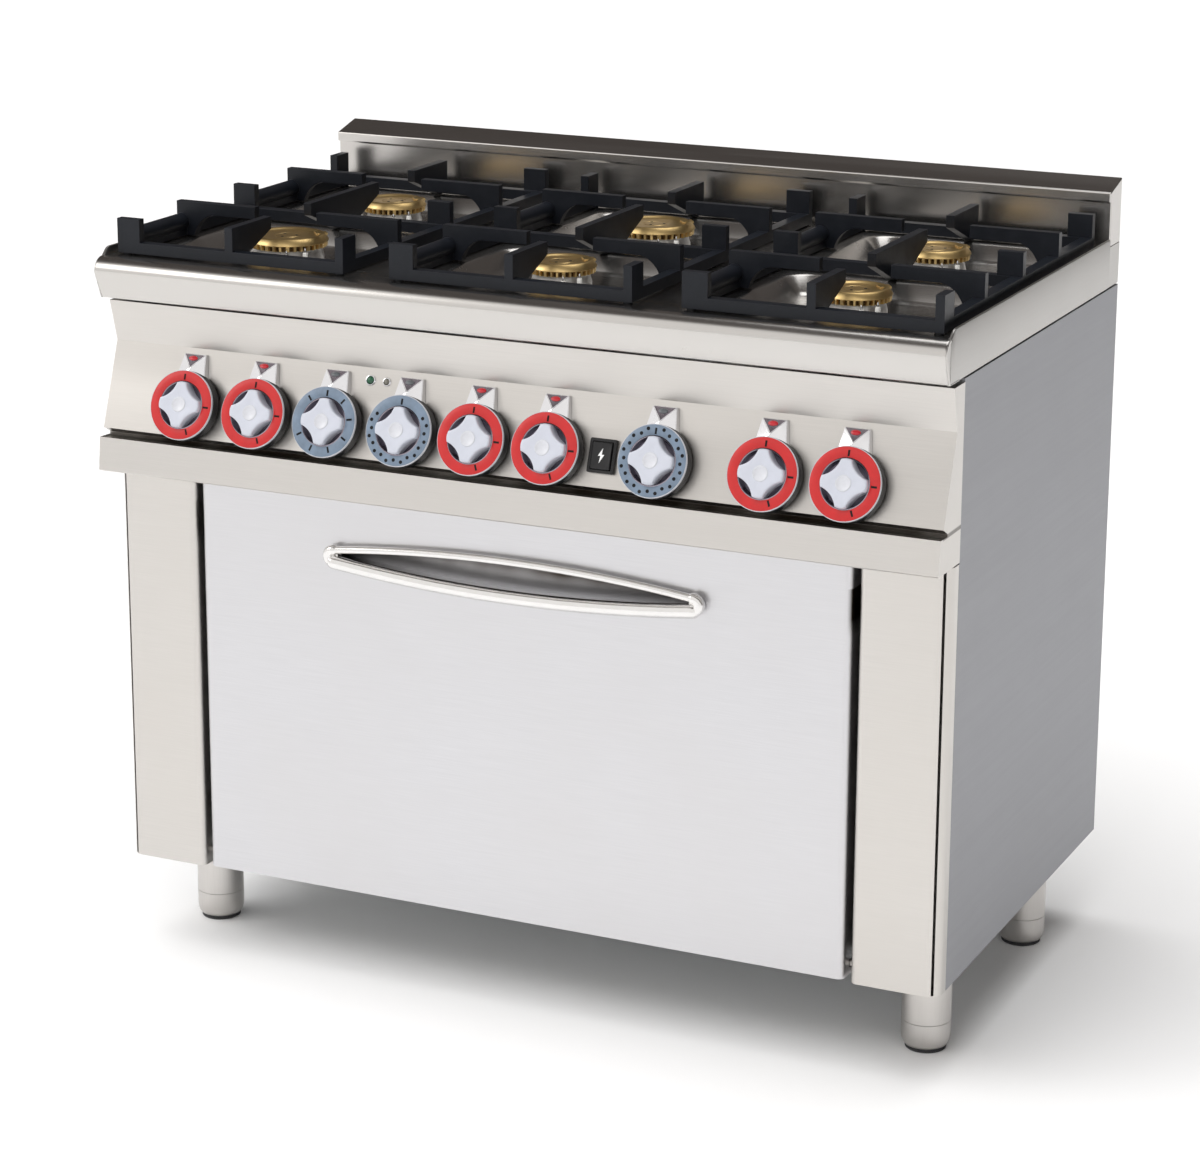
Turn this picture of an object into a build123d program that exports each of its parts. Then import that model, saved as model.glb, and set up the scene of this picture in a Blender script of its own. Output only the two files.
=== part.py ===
"""Free-standing gas range: six open burners under three cast-iron grates, over one electric fan oven.

Millimetres, +Z up, +X to the user's right, -Y towards the user. The origin is on the floor, at the centre
of the whole range's footprint, knobs included.
"""
from build123d import *
from math import atan2, cos, sin, sqrt
import os

os.makedirs("parts", exist_ok=True)

# ---- overall size
width = 1000.0
depth = 600.0
height = 900.0
knob_overhang = 12.0                      # the knob grips stand this far in front of the worktop
half_width = width / 2
back_y = (depth + knob_overhang) / 2
front_y = back_y - depth
sheet = 1.5                               # casing sheet
panel_sheet = 2.0
overshoot = 1.0                           # how far a cut runs past the face that it starts from

# ---- levels
body_bottom = 108.0
worktop_z = 825.0
side_lip_z = 834.0
apron_bottom = 778.0
nose_radius = 16.0
panel_bottom = 581.5
panel_top = 772.0
casing_top = apron_bottom - 2             # side panels end here, inside the worktop's skirt

# ---- fronts, as distances behind the worktop's front edge
apron_lean = 12.0
casing_front = front_y + 37.5             # pillars and door
side_fold = 15.0                          # width of the side panels' folded edges
side_front = front_y + 63.0               # side panels start here
splash_front = front_y + 561.0
splash_lip = 4.6                          # the splashback's rounded lip overhangs its face by this

# ---- worktop wells and burners
grate_pitch = 343.5
grate_x = [-grate_pitch, 0.0, grate_pitch]
hob_y = front_y + 286.0                   # the middle of the grates
burner_y = [hob_y - 126.0, hob_y + 126.0]
well_size = (230.0, 216.0)
well_depth = 22.0
well_corner = 30.0
well_taper = 35.0
well_z = worktop_z - well_depth
burner_hole = 36.0
large_cap = 46.0
small_cap = 39.0
cap_seat_z = 825.0
cap_top_z = 839.0
burners = [
    (x, y, large_cap if (column, row) in ((0, 0), (1, 1)) else small_cap)
    for column, x in enumerate(grate_x)
    for row, y in enumerate(burner_y)
]

# ---- grates
grate_width = 287.0
grate_depth = 512.0
grate_foot = 2.0
rail = 13.0
rail_base_z = worktop_z + grate_foot
rail_top_z = 839.5
finger_top_z = 866.0
finger = 10.0
finger_tip = 14.0                         # finger height at its tip
heel = 10.0                               # a side finger's foot reaches this far in from the rail
arch = 24.0                               # run of the curved underside beyond the heel
arch_radius = 32.0
corner_tab = 29.0
hinge_barrel = 10.0                       # radius of the thick stretches cast into the left rail
grate_peg = 5.0
grate_peg_inset = 8.0
side_tip = 40.0                           # burner axis to the tip of a left or right finger
end_tip = 45.0                            # burner axis to the tip of a front or back finger

# ---- control panel: the outline's corners, (y, z)
panel_crease = (front_y + 43.0, 723.7)
panel_face_foot = (front_y + 9.5, 629.0)
panel_lip_top = (front_y + 1.0, 620.0)
panel_lip_foot = (front_y - 3.0, 583.0)
panel_groove = (front_y + 22.0, 622.0)
face_rise = panel_crease[1] - panel_face_foot[1]
face_run = panel_crease[0] - panel_face_foot[0]
face_angle = atan2(face_run, face_rise)   # how far the knob face leans back from upright
knob_z = 661.0
knob_y = panel_face_foot[0] + face_run * (knob_z - panel_face_foot[1]) / face_rise

# ---- knobs and what they turn
gas_knob_x = [-393.0, -302.0, -33.0, 55.0, 304.0, 395.0]
oven_knob_x = {"selector_knob": -212.0, "thermostat_knob": -120.0, "timer_knob": 180.0}
igniter_x = 116.0
lamp_x = {6.0: -172.0, 5.0: -152.0}       # lamp radius: place
lamp_rise = 52.5
knob_radius = 39.5
ring_drop = 6.0                           # top of the grip down to the dial ring
bowl_drop = 14.5                          # top of the grip down to the floor of the bowl
bowl_radius = 26.5
stem_inside = 26.0                        # how far an oven knob's own stem reaches behind the panel
knob_gap = 4.3                            # between the panel and a knob
grip_reach = 25.0                         # knob axis to a grip point
grip_tip = 6.0                            # half the width of a grip point
grip_waist = 18.4                         # knob axis to the middle of a hollow side of the grip
pointer_outline = [(-19.0, 30.0), (19.0, 30.0), (14.5, 60.0), (-14.5, 60.0)]
pointer_height = 14.0
knob_height = (                           # panel to the top of the grip
    knob_y - (front_y - knob_overhang) - (grip_reach + 1) * sin(face_angle)
) / cos(face_angle)
spindle_radius = 4.0
spindle_flat = 3.0
spindle_length_out = 14.0
spindle_length_in = 46.0
stem_radius = 3.0
running_gap = 0.05
shaft_hole = 8.0
panel_cut = 14.0                          # depth of the cuts through the panel
panel_cut_start = 5.0                     # in front of its face
hub_radius = 9.0
knob_wall = 5.0
igniter_hole = (24.0, 30.0)
igniter_rim = 3.5
igniter_key = (23.4, 29.4)
manifold_radius = 10.0
manifold_depth = 72.0                     # behind the panel face
tap_radius = 13.0
control_body = 44.0                       # an oven control behind the panel, square
control_depth = (8.0, 38.0)

# ---- oven
cavity_x = 330.0
cavity_front = front_y + 86.0
cavity_back = cavity_front + 400.0
cavity_z = (190.0, 520.0)
face_frame_x = 392.0
face_frame_z = (132.0, 566.0)
wool = 25.0
rack_z = 356.0
rack_x = 311.0
side_rail_x = 323.0
ledge_x = 306.0
ledge_wire = 3.0
ledge_pitch = 60.0
rail_posts = (20.0, 170.0, 320.0)         # behind the cavity's front
fan_z = 355.0
fan_radius = 75.0
motor_radius = 40.0
motor_length = 65.0
fan_shaft = 5.0
cover_size = (300.0, 230.0)
cover_eye = 70.0                          # radius of the slotted round in the fan cover
fan_cover_front = cavity_back - 62.0

# ---- door
door_x = 392.5
door_z = (110.0, 574.0)
door_back = front_y + 74.0
hinge_y = front_y + 61.0
hinge_z = 122.0
pin_radius = 4.0
pin_length = 35.0
arm_x = (365.0, 389.0)
arm_half_depth = 9.0
arm_height = 190.0
door_corner = 8.0
handle_x = 217.0
handle_z = 508.0
handle_end = 7.0                          # half the ring's height at its ends
handle_rise = 13.0                        # what the bars add to that in the middle
grip_radius = 8.0                         # the lower bar, which the hand holds
top_bar_radius = 4.5
end_radius = 6.2
pocket_depth = 22.0

# ---- pillars, legs and feet
pillar_inner_x = 400.0
pillar_top = 580.0
pillar_rounds = {"outer": 15.0, "inner": 8.0}
leg_x = 449.0
leg_y = [front_y + 151.0, front_y + 486.0]
leg_radius = 27.5
foot_z = 34.0
foot_pad = 23.0                           # radius of the pad that stands on the floor
foot_pad_height = 4.5
foot_round = 9.0
foot_gap = 0.3                            # between a foot and its leg, screwed right in
foot_stem = 12.0
foot_stem_top = 84.0

# ---- gas supply
inlet_x = 430.0
inlet_y = back_y - 29.0
inlet_z = 70.0
inlet_radius = 10.48                      # 1/2 inch pipe thread, outside
inlet_length = 20.0
gland_radius = 10.0
gland_depth = 9.5
gland_spot = (300.0, 160.0)


def keep(builder, label):
    """Name a finished piece and write its file."""
    builder.part.label = label
    export_step(builder.part, f"parts/{label}.step")


def block(low, high, mode=Mode.ADD):
    """A box between two opposite corners, in the builder that is open."""
    size = [b - a for a, b in zip(low, high)]
    middle = [(a + b) / 2 for a, b in zip(low, high)]
    with Locations(tuple(middle)):
        Box(*size, mode=mode)


def rod(start, end, radius, mode=Mode.ADD):
    """A round bar between two points, in the builder that is open."""
    axis = Vector(*end) - Vector(*start)
    with BuildSketch(Plane(origin=start, z_dir=axis.normalized())) as section:
        Circle(radius)
    extrude(section.sketch, amount=axis.length, mode=mode)


def slab(outline, x_low, x_high, mode=Mode.ADD):
    """A (y, z) outline carried along X, in the builder that is open."""
    with BuildSketch(Plane.YZ.offset(x_low)) as section:
        with BuildLine():
            Polyline(*outline, close=True)
        make_face()
    extrude(section.sketch, amount=x_high - x_low, mode=mode)


def panel_plane(x, up=0.0):
    """The sloping knob face at x, up along the slope from the row of knobs. Its Z points at the user."""
    origin = (x, knob_y + up * sin(face_angle), knob_z + up * cos(face_angle))
    return Plane(origin=origin, x_dir=(1, 0, 0), z_dir=(0, -cos(face_angle), sin(face_angle)))


# ================================================================ casing

with BuildPart() as worktop:
    with BuildSketch(Plane.YZ.offset(-half_width)):
        with BuildLine():
            apron_foot = (front_y + apron_lean, apron_bottom)
            nose_low = (front_y, worktop_z - nose_radius)
            nose_high = (front_y + nose_radius, worktop_z)
            Line(apron_foot, nose_low)
            RadiusArc(nose_low, nose_high, nose_radius)
            Polyline(nose_high, (back_y, worktop_z), (back_y, apron_bottom), apron_foot)
        make_face()
    extrude(amount=width)
    hollow = [
        (front_y + apron_lean + sheet, apron_bottom - 1),
        (front_y + 2 * sheet, worktop_z - nose_radius),
        (front_y + nose_radius + sheet, worktop_z - sheet),
        (back_y - sheet, worktop_z - sheet),
        (back_y - sheet, apron_bottom - 1),
    ]
    slab(hollow, sheet - half_width, half_width - sheet, Mode.SUBTRACT)
    lip = [
        (front_y + nose_radius, worktop_z - sheet),
        (front_y + nose_radius + 3, side_lip_z - 2),
        (front_y + nose_radius + 7, side_lip_z),
        (splash_front, side_lip_z),
        (splash_front, worktop_z - sheet),
    ]
    slab(lip, -half_width, 2 * sheet - half_width)
    slab(lip, half_width - 2 * sheet, half_width)
    for x in grate_x:
        for y in burner_y:
            with BuildSketch(Plane((x, y, worktop_z - 0.01))):
                RectangleRounded(well_size[0] + 2 * sheet, well_size[1] + 2 * sheet, well_corner)
            extrude(amount=-(well_depth + sheet), taper=well_taper)
            with BuildSketch(Plane((x, y, worktop_z))):
                RectangleRounded(*well_size, well_corner)
            extrude(amount=-well_depth, taper=well_taper, mode=Mode.SUBTRACT)
            rod((x, y, worktop_z), (x, y, apron_bottom), burner_hole, Mode.SUBTRACT)
keep(worktop, "worktop")

with BuildPart() as splashback:
    outline = [
        (splash_front, worktop_z),
        (splash_front, height - 23),
        (splash_front - splash_lip, height - 23),
        (splash_front - splash_lip, height - 11.5),
        (back_y, height),
        (back_y, worktop_z),
    ]
    slab(outline, -half_width, half_width)
    inside = [
        (splash_front + sheet, worktop_z - 1),
        (splash_front + sheet, height - 15),
        (back_y - sheet, height - 4),
        (back_y - sheet, worktop_z - 1),
    ]
    slab(inside, sheet - half_width, half_width - sheet, Mode.SUBTRACT)
keep(splashback, "splashback")

with BuildPart() as control_panel:
    outline = [
        (side_front, panel_top),
        (front_y + 30, panel_top),
        panel_crease,
        panel_face_foot,
        panel_groove,
        (front_y + 22, 619.0),
        panel_lip_top,
        panel_lip_foot,
        (front_y - 1.5, panel_bottom),
        (side_front, panel_bottom),
    ]
    slab(outline, -half_width, half_width)
    inside = [
        (side_front + 1, panel_top - panel_sheet),
        (front_y + 30 + panel_sheet, panel_top - panel_sheet),
        (panel_crease[0] + panel_sheet, panel_crease[1]),
        (panel_face_foot[0] + 4, panel_face_foot[1] + 4),
        (front_y + 24, 626.0),
        (front_y + 24, 616.0),
        (panel_lip_top[0] + panel_sheet, panel_lip_top[1] - panel_sheet),
        (panel_lip_foot[0] + panel_sheet, panel_lip_foot[1] + panel_sheet),
        (side_front + 1, panel_bottom + panel_sheet),
    ]
    slab(inside, panel_sheet - half_width, half_width - panel_sheet, Mode.SUBTRACT)
    for x in gas_knob_x + list(oven_knob_x.values()):
        with BuildSketch(panel_plane(x).offset(panel_cut_start)):
            Circle(shaft_hole)
        extrude(amount=-panel_cut, mode=Mode.SUBTRACT)
    with BuildSketch(panel_plane(igniter_x).offset(panel_cut_start)):
        Rectangle(*igniter_hole)
    extrude(amount=-panel_cut, mode=Mode.SUBTRACT)
    for radius, x in lamp_x.items():
        with BuildSketch(panel_plane(x, lamp_rise).offset(panel_cut_start)):
            Circle(radius - 1.5)
        extrude(amount=-panel_cut, mode=Mode.SUBTRACT)
keep(control_panel, "control_panel")


def build_pillar(side):
    """A folded front corner of the casing, with the stud that the door turns on. side is -1 left, 1 right."""
    outer = side * half_width
    inner = side * pillar_inner_x
    with BuildPart() as pillar:
        with BuildSketch(Plane.XY.offset(body_bottom)) as footprint:
            with Locations(((outer + inner) / 2, (casing_front + side_front - 1) / 2)):
                Rectangle(half_width - pillar_inner_x, side_front - 1 - casing_front)
            radii = [pillar_rounds["outer"], pillar_rounds["inner"]][:: -side]
            fillet(footprint.vertices().group_by(Axis.Y)[0].sort_by(Axis.X)[0], radii[0])
            fillet(footprint.vertices().group_by(Axis.Y)[0].sort_by(Axis.X)[-1], radii[1])
        extrude(amount=pillar_top - body_bottom)
        with BuildSketch(Plane.XY.offset(body_bottom + sheet)):
            with Locations(((outer + inner) / 2, (casing_front + side_front) / 2)):
                Rectangle(half_width - pillar_inner_x - 12, side_front - casing_front - 2 * sheet)
        extrude(amount=pillar_top - body_bottom - 2 * sheet, mode=Mode.SUBTRACT)
        flange = sorted((inner, inner + side * sheet))
        block((flange[0], casing_front + 12, body_bottom), (flange[1], cavity_front - 3, pillar_top))
        rod((inner + side, hinge_y, hinge_z), (inner - side * pin_length, hinge_y, hinge_z), pin_radius)
    return pillar


keep(build_pillar(-1), "left_pillar")
keep(build_pillar(1), "right_pillar")


def build_side_panel(side):
    """A flat casing side with its edges folded in. side is -1 left, 1 right."""
    outer = side * half_width
    inner = side * (half_width - side_fold)
    x_low, x_high = min(outer, inner), max(outer, inner)
    hollow_low = x_low + (sheet if side < 0 else -1)
    hollow_high = x_high + (1 if side < 0 else -sheet)
    with BuildPart() as panel:
        block((x_low, side_front, body_bottom), (x_high, back_y, casing_top))
        block(
            (hollow_low, side_front + sheet, body_bottom + sheet),
            (hollow_high, back_y - sheet, casing_top - sheet),
            Mode.SUBTRACT,
        )
    return panel


keep(build_side_panel(-1), "left_side_panel")
keep(build_side_panel(1), "right_side_panel")

vent_pitch = 260.0
vent_reach = 60.0
vent_levels = range(600, 740, 20)
with BuildPart() as rear_panel:
    rear_x = half_width - side_fold
    block((-rear_x, back_y - sheet, body_bottom), (rear_x, back_y, apron_bottom))
    collar_front = (gland_spot[0], back_y - gland_depth, gland_spot[1])
    collar_back = (gland_spot[0], back_y, gland_spot[1])
    rod(collar_front, collar_back, gland_radius + 4)
    rod(collar_front, collar_back, gland_radius, Mode.SUBTRACT)
    for x in (-vent_pitch, 0, vent_pitch):
        for z in vent_levels:
            block((x - vent_reach, back_y - 3, z), (x + vent_reach, back_y + 1, z + 6), Mode.SUBTRACT)
keep(rear_panel, "rear_panel")

with BuildPart() as base_tray:
    tray_low = (side_fold - half_width, cavity_front + 5, body_bottom)
    tray_high = (half_width - side_fold, back_y - sheet, body_bottom + 20)
    block(tray_low, tray_high)
    block(
        [value + sheet for value in tray_low],
        (tray_high[0] - sheet, tray_high[1] - sheet, tray_high[2] + 1),
        Mode.SUBTRACT,
    )
    rod((inlet_x, inlet_y, body_bottom - 1), (inlet_x, inlet_y, body_bottom + 4), 14, Mode.SUBTRACT)
keep(base_tray, "base_tray")

leg_spots = [(side * leg_x, y) for y in leg_y for side in (-1, 1)]
with BuildPart() as legs:
    for x, y in leg_spots:
        rod((x, y, foot_z), (x, y, body_bottom), leg_radius)
        rod((x, y, foot_z), (x, y, foot_stem_top + 4), foot_stem + running_gap, Mode.SUBTRACT)
keep(legs, "legs")

for number, (x, y) in enumerate(leg_spots, start=1):
    with BuildPart() as foot:
        rod((x, y, foot_pad_height), (x, y, foot_z - foot_gap), leg_radius)
        fillet(foot.edges().filter_by(GeomType.CIRCLE).sort_by(Axis.Z)[0], foot_round)
        rod((x, y, 0), (x, y, foot_pad_height), foot_pad)
        rod((x, y, foot_z - 1), (x, y, foot_stem_top), foot_stem)
    keep(foot, f"adjustable_foot_{number}")

# ================================================================ oven

with BuildPart() as oven_liner:
    block(
        (-cavity_x - sheet, cavity_front, cavity_z[0] - sheet),
        (cavity_x + sheet, cavity_back + sheet, cavity_z[1] + sheet),
    )
    block(
        (-face_frame_x, cavity_front - sheet, face_frame_z[0]),
        (face_frame_x, cavity_front, face_frame_z[1]),
    )
    block(
        (-cavity_x, cavity_front - 2 * sheet, cavity_z[0]),
        (cavity_x, cavity_back, cavity_z[1]),
        Mode.SUBTRACT,
    )
    rod((0, cavity_back - 1, fan_z), (0, cavity_back + 3, fan_z), shaft_hole, Mode.SUBTRACT)
keep(oven_liner, "oven_liner")

with BuildPart() as oven_insulation:
    block(
        (-cavity_x - wool, cavity_front + 3, cavity_z[0] - wool),
        (cavity_x + wool, cavity_back + wool, cavity_z[1] + wool),
    )
    block(
        (-cavity_x - sheet, cavity_front, cavity_z[0] - sheet),
        (cavity_x + sheet, cavity_back + sheet, cavity_z[1] + sheet),
        Mode.SUBTRACT,
    )
    rod((0, cavity_back, fan_z), (0, cavity_back + wool + 1, fan_z), motor_radius + 2, Mode.SUBTRACT)
keep(oven_insulation, "oven_insulation")

seal_width = 15.0
with BuildPart() as oven_seal:
    seal_front = door_back + 5.3
    block(
        (-cavity_x - 3 - seal_width, seal_front, cavity_z[0] - 3 - seal_width),
        (cavity_x + 3 + seal_width, cavity_front - sheet, cavity_z[1] + 3 + seal_width),
    )
    block(
        (-cavity_x - 3, seal_front - 1, cavity_z[0] - 3),
        (cavity_x + 3, cavity_front, cavity_z[1] + 3),
        Mode.SUBTRACT,
    )
keep(oven_seal, "oven_seal")

ledge_levels = [rack_z - 3.2 + ledge_pitch * step for step in (-2, -1, 0, 1)]
with BuildPart() as rack_rails:
    for side in (-1, 1):
        post_x, wire_x = side * side_rail_x, side * ledge_x
        posts = [cavity_front + place for place in rail_posts]
        for y in posts:
            rod((post_x, y, ledge_levels[0] - 30), (post_x, y, ledge_levels[-1] + 50), ledge_wire)
        for level in ledge_levels:
            z = level - ledge_wire
            for y in posts:
                rod((post_x, y, z), (wire_x, y, z), 2.4)
            rod((wire_x, posts[0] - 10, z), (wire_x, posts[-1] + 12, z), ledge_wire)
        block(
            (min(post_x, side * cavity_x), posts[1] - 10, rack_z + 60),
            (max(post_x, side * cavity_x), posts[1] + 10, rack_z + 80),
        )
keep(rack_rails, "rack_rails")

with BuildPart() as oven_rack:
    rack_front, rack_back = cavity_front + 12, cavity_front + 330
    for x in (-rack_x, rack_x):
        rod((x, rack_front, rack_z), (x, rack_back, rack_z), 3)
    for y in (rack_front, (rack_front + rack_back) / 2, rack_back):
        rod((-rack_x, y, rack_z), (rack_x, y, rack_z), 3)
    wire_count = 22
    for wire in range(1, wire_count):
        x = -rack_x + 2 * rack_x * wire / wire_count
        rod((x, rack_front, rack_z), (x, rack_back, rack_z), 1.8)
keep(oven_rack, "oven_rack")

with BuildPart() as heating_elements:
    for z in (cavity_z[0] + 18, cavity_z[1] - 18):
        turns = [-240, -160, -80, 0, 80, 160, 240]
        route = [(turns[0], cavity_back, z)]
        for index, x in enumerate(turns[:-1]):
            y = cavity_front + 40 if index % 2 == 0 else cavity_front + 310
            route.append((x, y, z))
            route.append((turns[index + 1], y, z))
        route.append((turns[-1], cavity_back, z))
        with BuildLine() as element_path:
            FilletPolyline(*route, radius=30)
        with BuildSketch(Plane(origin=route[0], z_dir=(0, -1, 0))):
            Circle(4)
        sweep(path=element_path.wires()[0])
keep(heating_elements, "heating_elements")

with BuildPart() as fan_motor:
    motor_front = cavity_back + sheet + 1
    rod((0, motor_front, fan_z), (0, motor_front + motor_length, fan_z), motor_radius)
    rod((0, motor_front, fan_z), (0, motor_front + 40, fan_z), fan_shaft + running_gap, Mode.SUBTRACT)
keep(fan_motor, "fan_motor")

with BuildPart() as oven_fan:
    fan_back = cavity_back - 14
    rod((0, fan_back - 30, fan_z), (0, motor_front + 36, fan_z), fan_shaft)
    rod((0, fan_back, fan_z), (0, fan_back + 2, fan_z), fan_radius)
    rod((0, fan_back - 28, fan_z), (0, fan_back, fan_z), 18)
    with Locations(Plane(origin=(0, fan_back, fan_z), z_dir=(0, -1, 0))):
        with PolarLocations(46, 10):
            Box(54, 2, 28, align=(Align.CENTER, Align.CENTER, Align.MIN))
keep(oven_fan, "oven_fan")

with BuildPart() as fan_cover:
    cover_x, cover_rise = cover_size[0] / 2, cover_size[1] / 2
    block((-cover_x, fan_cover_front, fan_z - cover_rise), (cover_x, cavity_back, fan_z + cover_rise))
    block(
        (sheet - cover_x, fan_cover_front + sheet, fan_z - cover_rise + sheet),
        (cover_x - sheet, cavity_back + overshoot, fan_z + cover_rise - sheet),
        Mode.SUBTRACT,
    )
    for x in range(-60, 61, 15):
        reach = sqrt(cover_eye**2 - x**2)
        block(
            (x - 4, fan_cover_front - 1, fan_z - reach),
            (x + 4, fan_cover_front + 3, fan_z + reach),
            Mode.SUBTRACT,
        )
    for side in (-1, 1):
        for z in range(-90, 91, 20):
            block(
                (side * (cover_x - 1) - 4, cavity_back - 45, fan_z + z),
                (side * (cover_x - 1) + 4, cavity_back - 15, fan_z + z + 10),
                Mode.SUBTRACT,
            )
keep(fan_cover, "fan_cover")

# ================================================================ door

def lens(half_width, half_end, rise):
    """The handle's pointed-oval outline, from end to end: two shallow arcs joined by round ends."""
    top_left, top_right = (-half_width, half_end), (half_width, half_end)
    low_left, low_right = (-half_width, -half_end), (half_width, -half_end)
    with BuildLine() as edge:
        ThreePointArc(top_left, (0, half_end + rise), top_right)
        ThreePointArc(top_right, (half_width + half_end, 0), low_right)
        ThreePointArc(low_right, (0, -half_end - rise), low_left)
        ThreePointArc(low_left, (-half_width - half_end, 0), top_left)
    make_face(edge.edges())


pocket_plane = Plane(origin=(0, casing_front, handle_z), x_dir=(1, 0, 0), z_dir=(0, -1, 0))

with BuildPart() as door_outer_skin:
    with BuildSketch(Plane.XY.offset(door_z[0])) as footprint:
        with Locations((0, (casing_front + door_back) / 2)):
            Rectangle(2 * door_x, door_back - casing_front)
        fillet(footprint.vertices().group_by(Axis.Y)[0], door_corner)
    extrude(amount=door_z[1] - door_z[0])
    with BuildSketch(Plane.XY.offset(door_z[0] + sheet)) as inside:
        with Locations((0, (casing_front + door_back) / 2 + sheet)):
            Rectangle(2 * (door_x - sheet), door_back - casing_front)
        fillet(inside.vertices().group_by(Axis.Y)[0], door_corner - sheet)
    extrude(amount=door_z[1] - door_z[0] - 2 * sheet, mode=Mode.SUBTRACT)
    with BuildSketch(pocket_plane):
        lens(handle_x, handle_end, handle_rise)
    extrude(amount=-pocket_depth)
    with BuildSketch(pocket_plane):
        lens(handle_x - sheet, handle_end - sheet, handle_rise)
    extrude(amount=sheet - pocket_depth, mode=Mode.SUBTRACT)
    for side in (-1, 1):
        pin_way_in = (side * (door_x + 1), hinge_y, hinge_z)
        pin_way_out = (side * (door_x - 4), hinge_y, hinge_z)
        rod(pin_way_in, pin_way_out, pin_radius + 1.5, Mode.SUBTRACT)
keep(door_outer_skin, "door_outer_skin")

with BuildPart() as door_inner_panel:
    block((-door_x + 3, door_back, door_z[0] + 26), (door_x - 3, door_back + sheet, door_z[1] - 5))
    block((-cavity_x - 25, door_back, cavity_z[0] - 22), (cavity_x + 25, door_back + 5, cavity_z[1] + 22))
    fillet(door_inner_panel.edges().group_by(Axis.Y)[-1], 3)
    block(
        (-cavity_x - 20, door_back - 1, cavity_z[0] - 17),
        (cavity_x + 20, door_back + 3, cavity_z[1] + 17),
        Mode.SUBTRACT,
    )
keep(door_inner_panel, "door_inner_panel")

with BuildPart() as door_insulation:
    block(
        (-arm_x[0] + 5, casing_front + sheet, door_z[0] + 28),
        (arm_x[0] - 5, door_back, door_z[1] - 5),
    )
    with BuildSketch(pocket_plane):
        lens(handle_x + 2, handle_end + 2, handle_rise)
    extrude(amount=-pocket_depth - 1, mode=Mode.SUBTRACT)
keep(door_insulation, "door_insulation")

with BuildPart() as door_hinges:
    for side in (-1, 1):
        x_low, x_high = sorted((side * arm_x[0], side * arm_x[1]))
        arm_foot = (x_low, hinge_y - arm_half_depth, door_z[0] + sheet)
        arm_head = (x_high, hinge_y + arm_half_depth, door_z[0] + arm_height)
        block(arm_foot, arm_head)
        bore = pin_radius + running_gap
        rod((x_low - 1, hinge_y, hinge_z), (x_high + 1, hinge_y, hinge_z), bore, Mode.SUBTRACT)
keep(door_hinges, "door_hinges")


def bar(points, radius):
    """A round bar bent through three points, in the builder that is open."""
    with BuildLine() as line:
        ThreePointArc(*points)
    edge = line.edges()[0]
    with BuildSketch(Plane(origin=edge @ 0, z_dir=edge % 0)) as section:
        Circle(radius)
    sweep(section.sketch, path=edge)


with BuildPart() as door_handle:
    grip_y = casing_front - grip_radius
    for way, radius in ((-1, grip_radius), (1, top_bar_radius)):
        bar_z = handle_z + way * handle_end
        crown_z = bar_z + way * handle_rise
        bar([(-handle_x, grip_y, bar_z), (0, grip_y, crown_z), (handle_x, grip_y, bar_z)], radius)
    for side in (-1, 1):
        x = side * handle_x
        ends = [(x, grip_y, handle_z - handle_end), (x, grip_y, handle_z + handle_end)]
        bar([ends[0], (x + side * handle_end, grip_y, handle_z), ends[1]], end_radius)
        for end, radius in zip(ends, (grip_radius, end_radius)):
            with Locations(end):
                Sphere(radius)
        rod((x, grip_y, handle_z), (x, casing_front, handle_z), 5)
keep(door_handle, "door_handle")

# ================================================================ controls


def d_profile(gap=0.0):
    """The round-with-a-flat section of a tap spindle, or of the bore for it with a gap all round."""
    Circle(spindle_radius + gap)
    with Locations((0, spindle_flat + gap + 5)):
        Rectangle(20, 10, mode=Mode.SUBTRACT)


def star_profile(reach=grip_reach, waist=grip_waist, tip=grip_tip):
    """The four-pointed grip seen from the front: concave sides, blunt rounded points."""
    waist_xy = waist * cos(atan2(1, 1))
    quarters = [
        [(reach, tip), (waist_xy, waist_xy), (tip, reach)],
        [(-tip, reach), (-waist_xy, waist_xy), (-reach, tip)],
        [(-reach, -tip), (-waist_xy, -waist_xy), (-tip, -reach)],
        [(tip, -reach), (waist_xy, -waist_xy), (reach, -tip)],
    ]
    tips = [(0, reach + 1), (-reach - 1, 0), (0, -reach - 1), (reach + 1, 0)]
    with BuildLine() as edge:
        for index, side in enumerate(quarters):
            ThreePointArc(*side)
            ThreePointArc(side[-1], tips[index], quarters[(index + 1) % 4][0])
    make_face(edge.edges())


def build_knob(x, stem):
    """A dished knob with a star grip. It has a blind bore for a tap spindle, or a stem of its own."""
    face = panel_plane(x)
    ring_top = knob_height - ring_drop
    bowl_floor = knob_height - bowl_drop
    with BuildPart() as knob:
        with BuildSketch(face.offset(knob_gap)):
            Circle(knob_radius)
        extrude(amount=ring_top - knob_gap, taper=2)
        with BuildSketch(face.offset(ring_top)):
            Circle(bowl_radius)
        extrude(amount=bowl_floor - ring_top, taper=12, mode=Mode.SUBTRACT)
        with BuildSketch(face.offset(bowl_floor - 0.5)):
            star_profile()
        extrude(amount=knob_height - bowl_floor + 0.5)
        with BuildSketch(face.offset(knob_gap)):
            Circle(knob_radius - knob_wall)
            Circle(hub_radius, mode=Mode.SUBTRACT)
        extrude(amount=bowl_floor - 4 - knob_gap, mode=Mode.SUBTRACT)
        if stem:
            with BuildSketch(face.offset(-stem_inside)):
                Circle(stem_radius)
            extrude(amount=stem_inside + bowl_floor)
        else:
            with BuildSketch(face.offset(knob_gap - 1)):
                d_profile(running_gap)
            extrude(amount=spindle_length_out + 5 - knob_gap, mode=Mode.SUBTRACT)
    return knob


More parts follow.
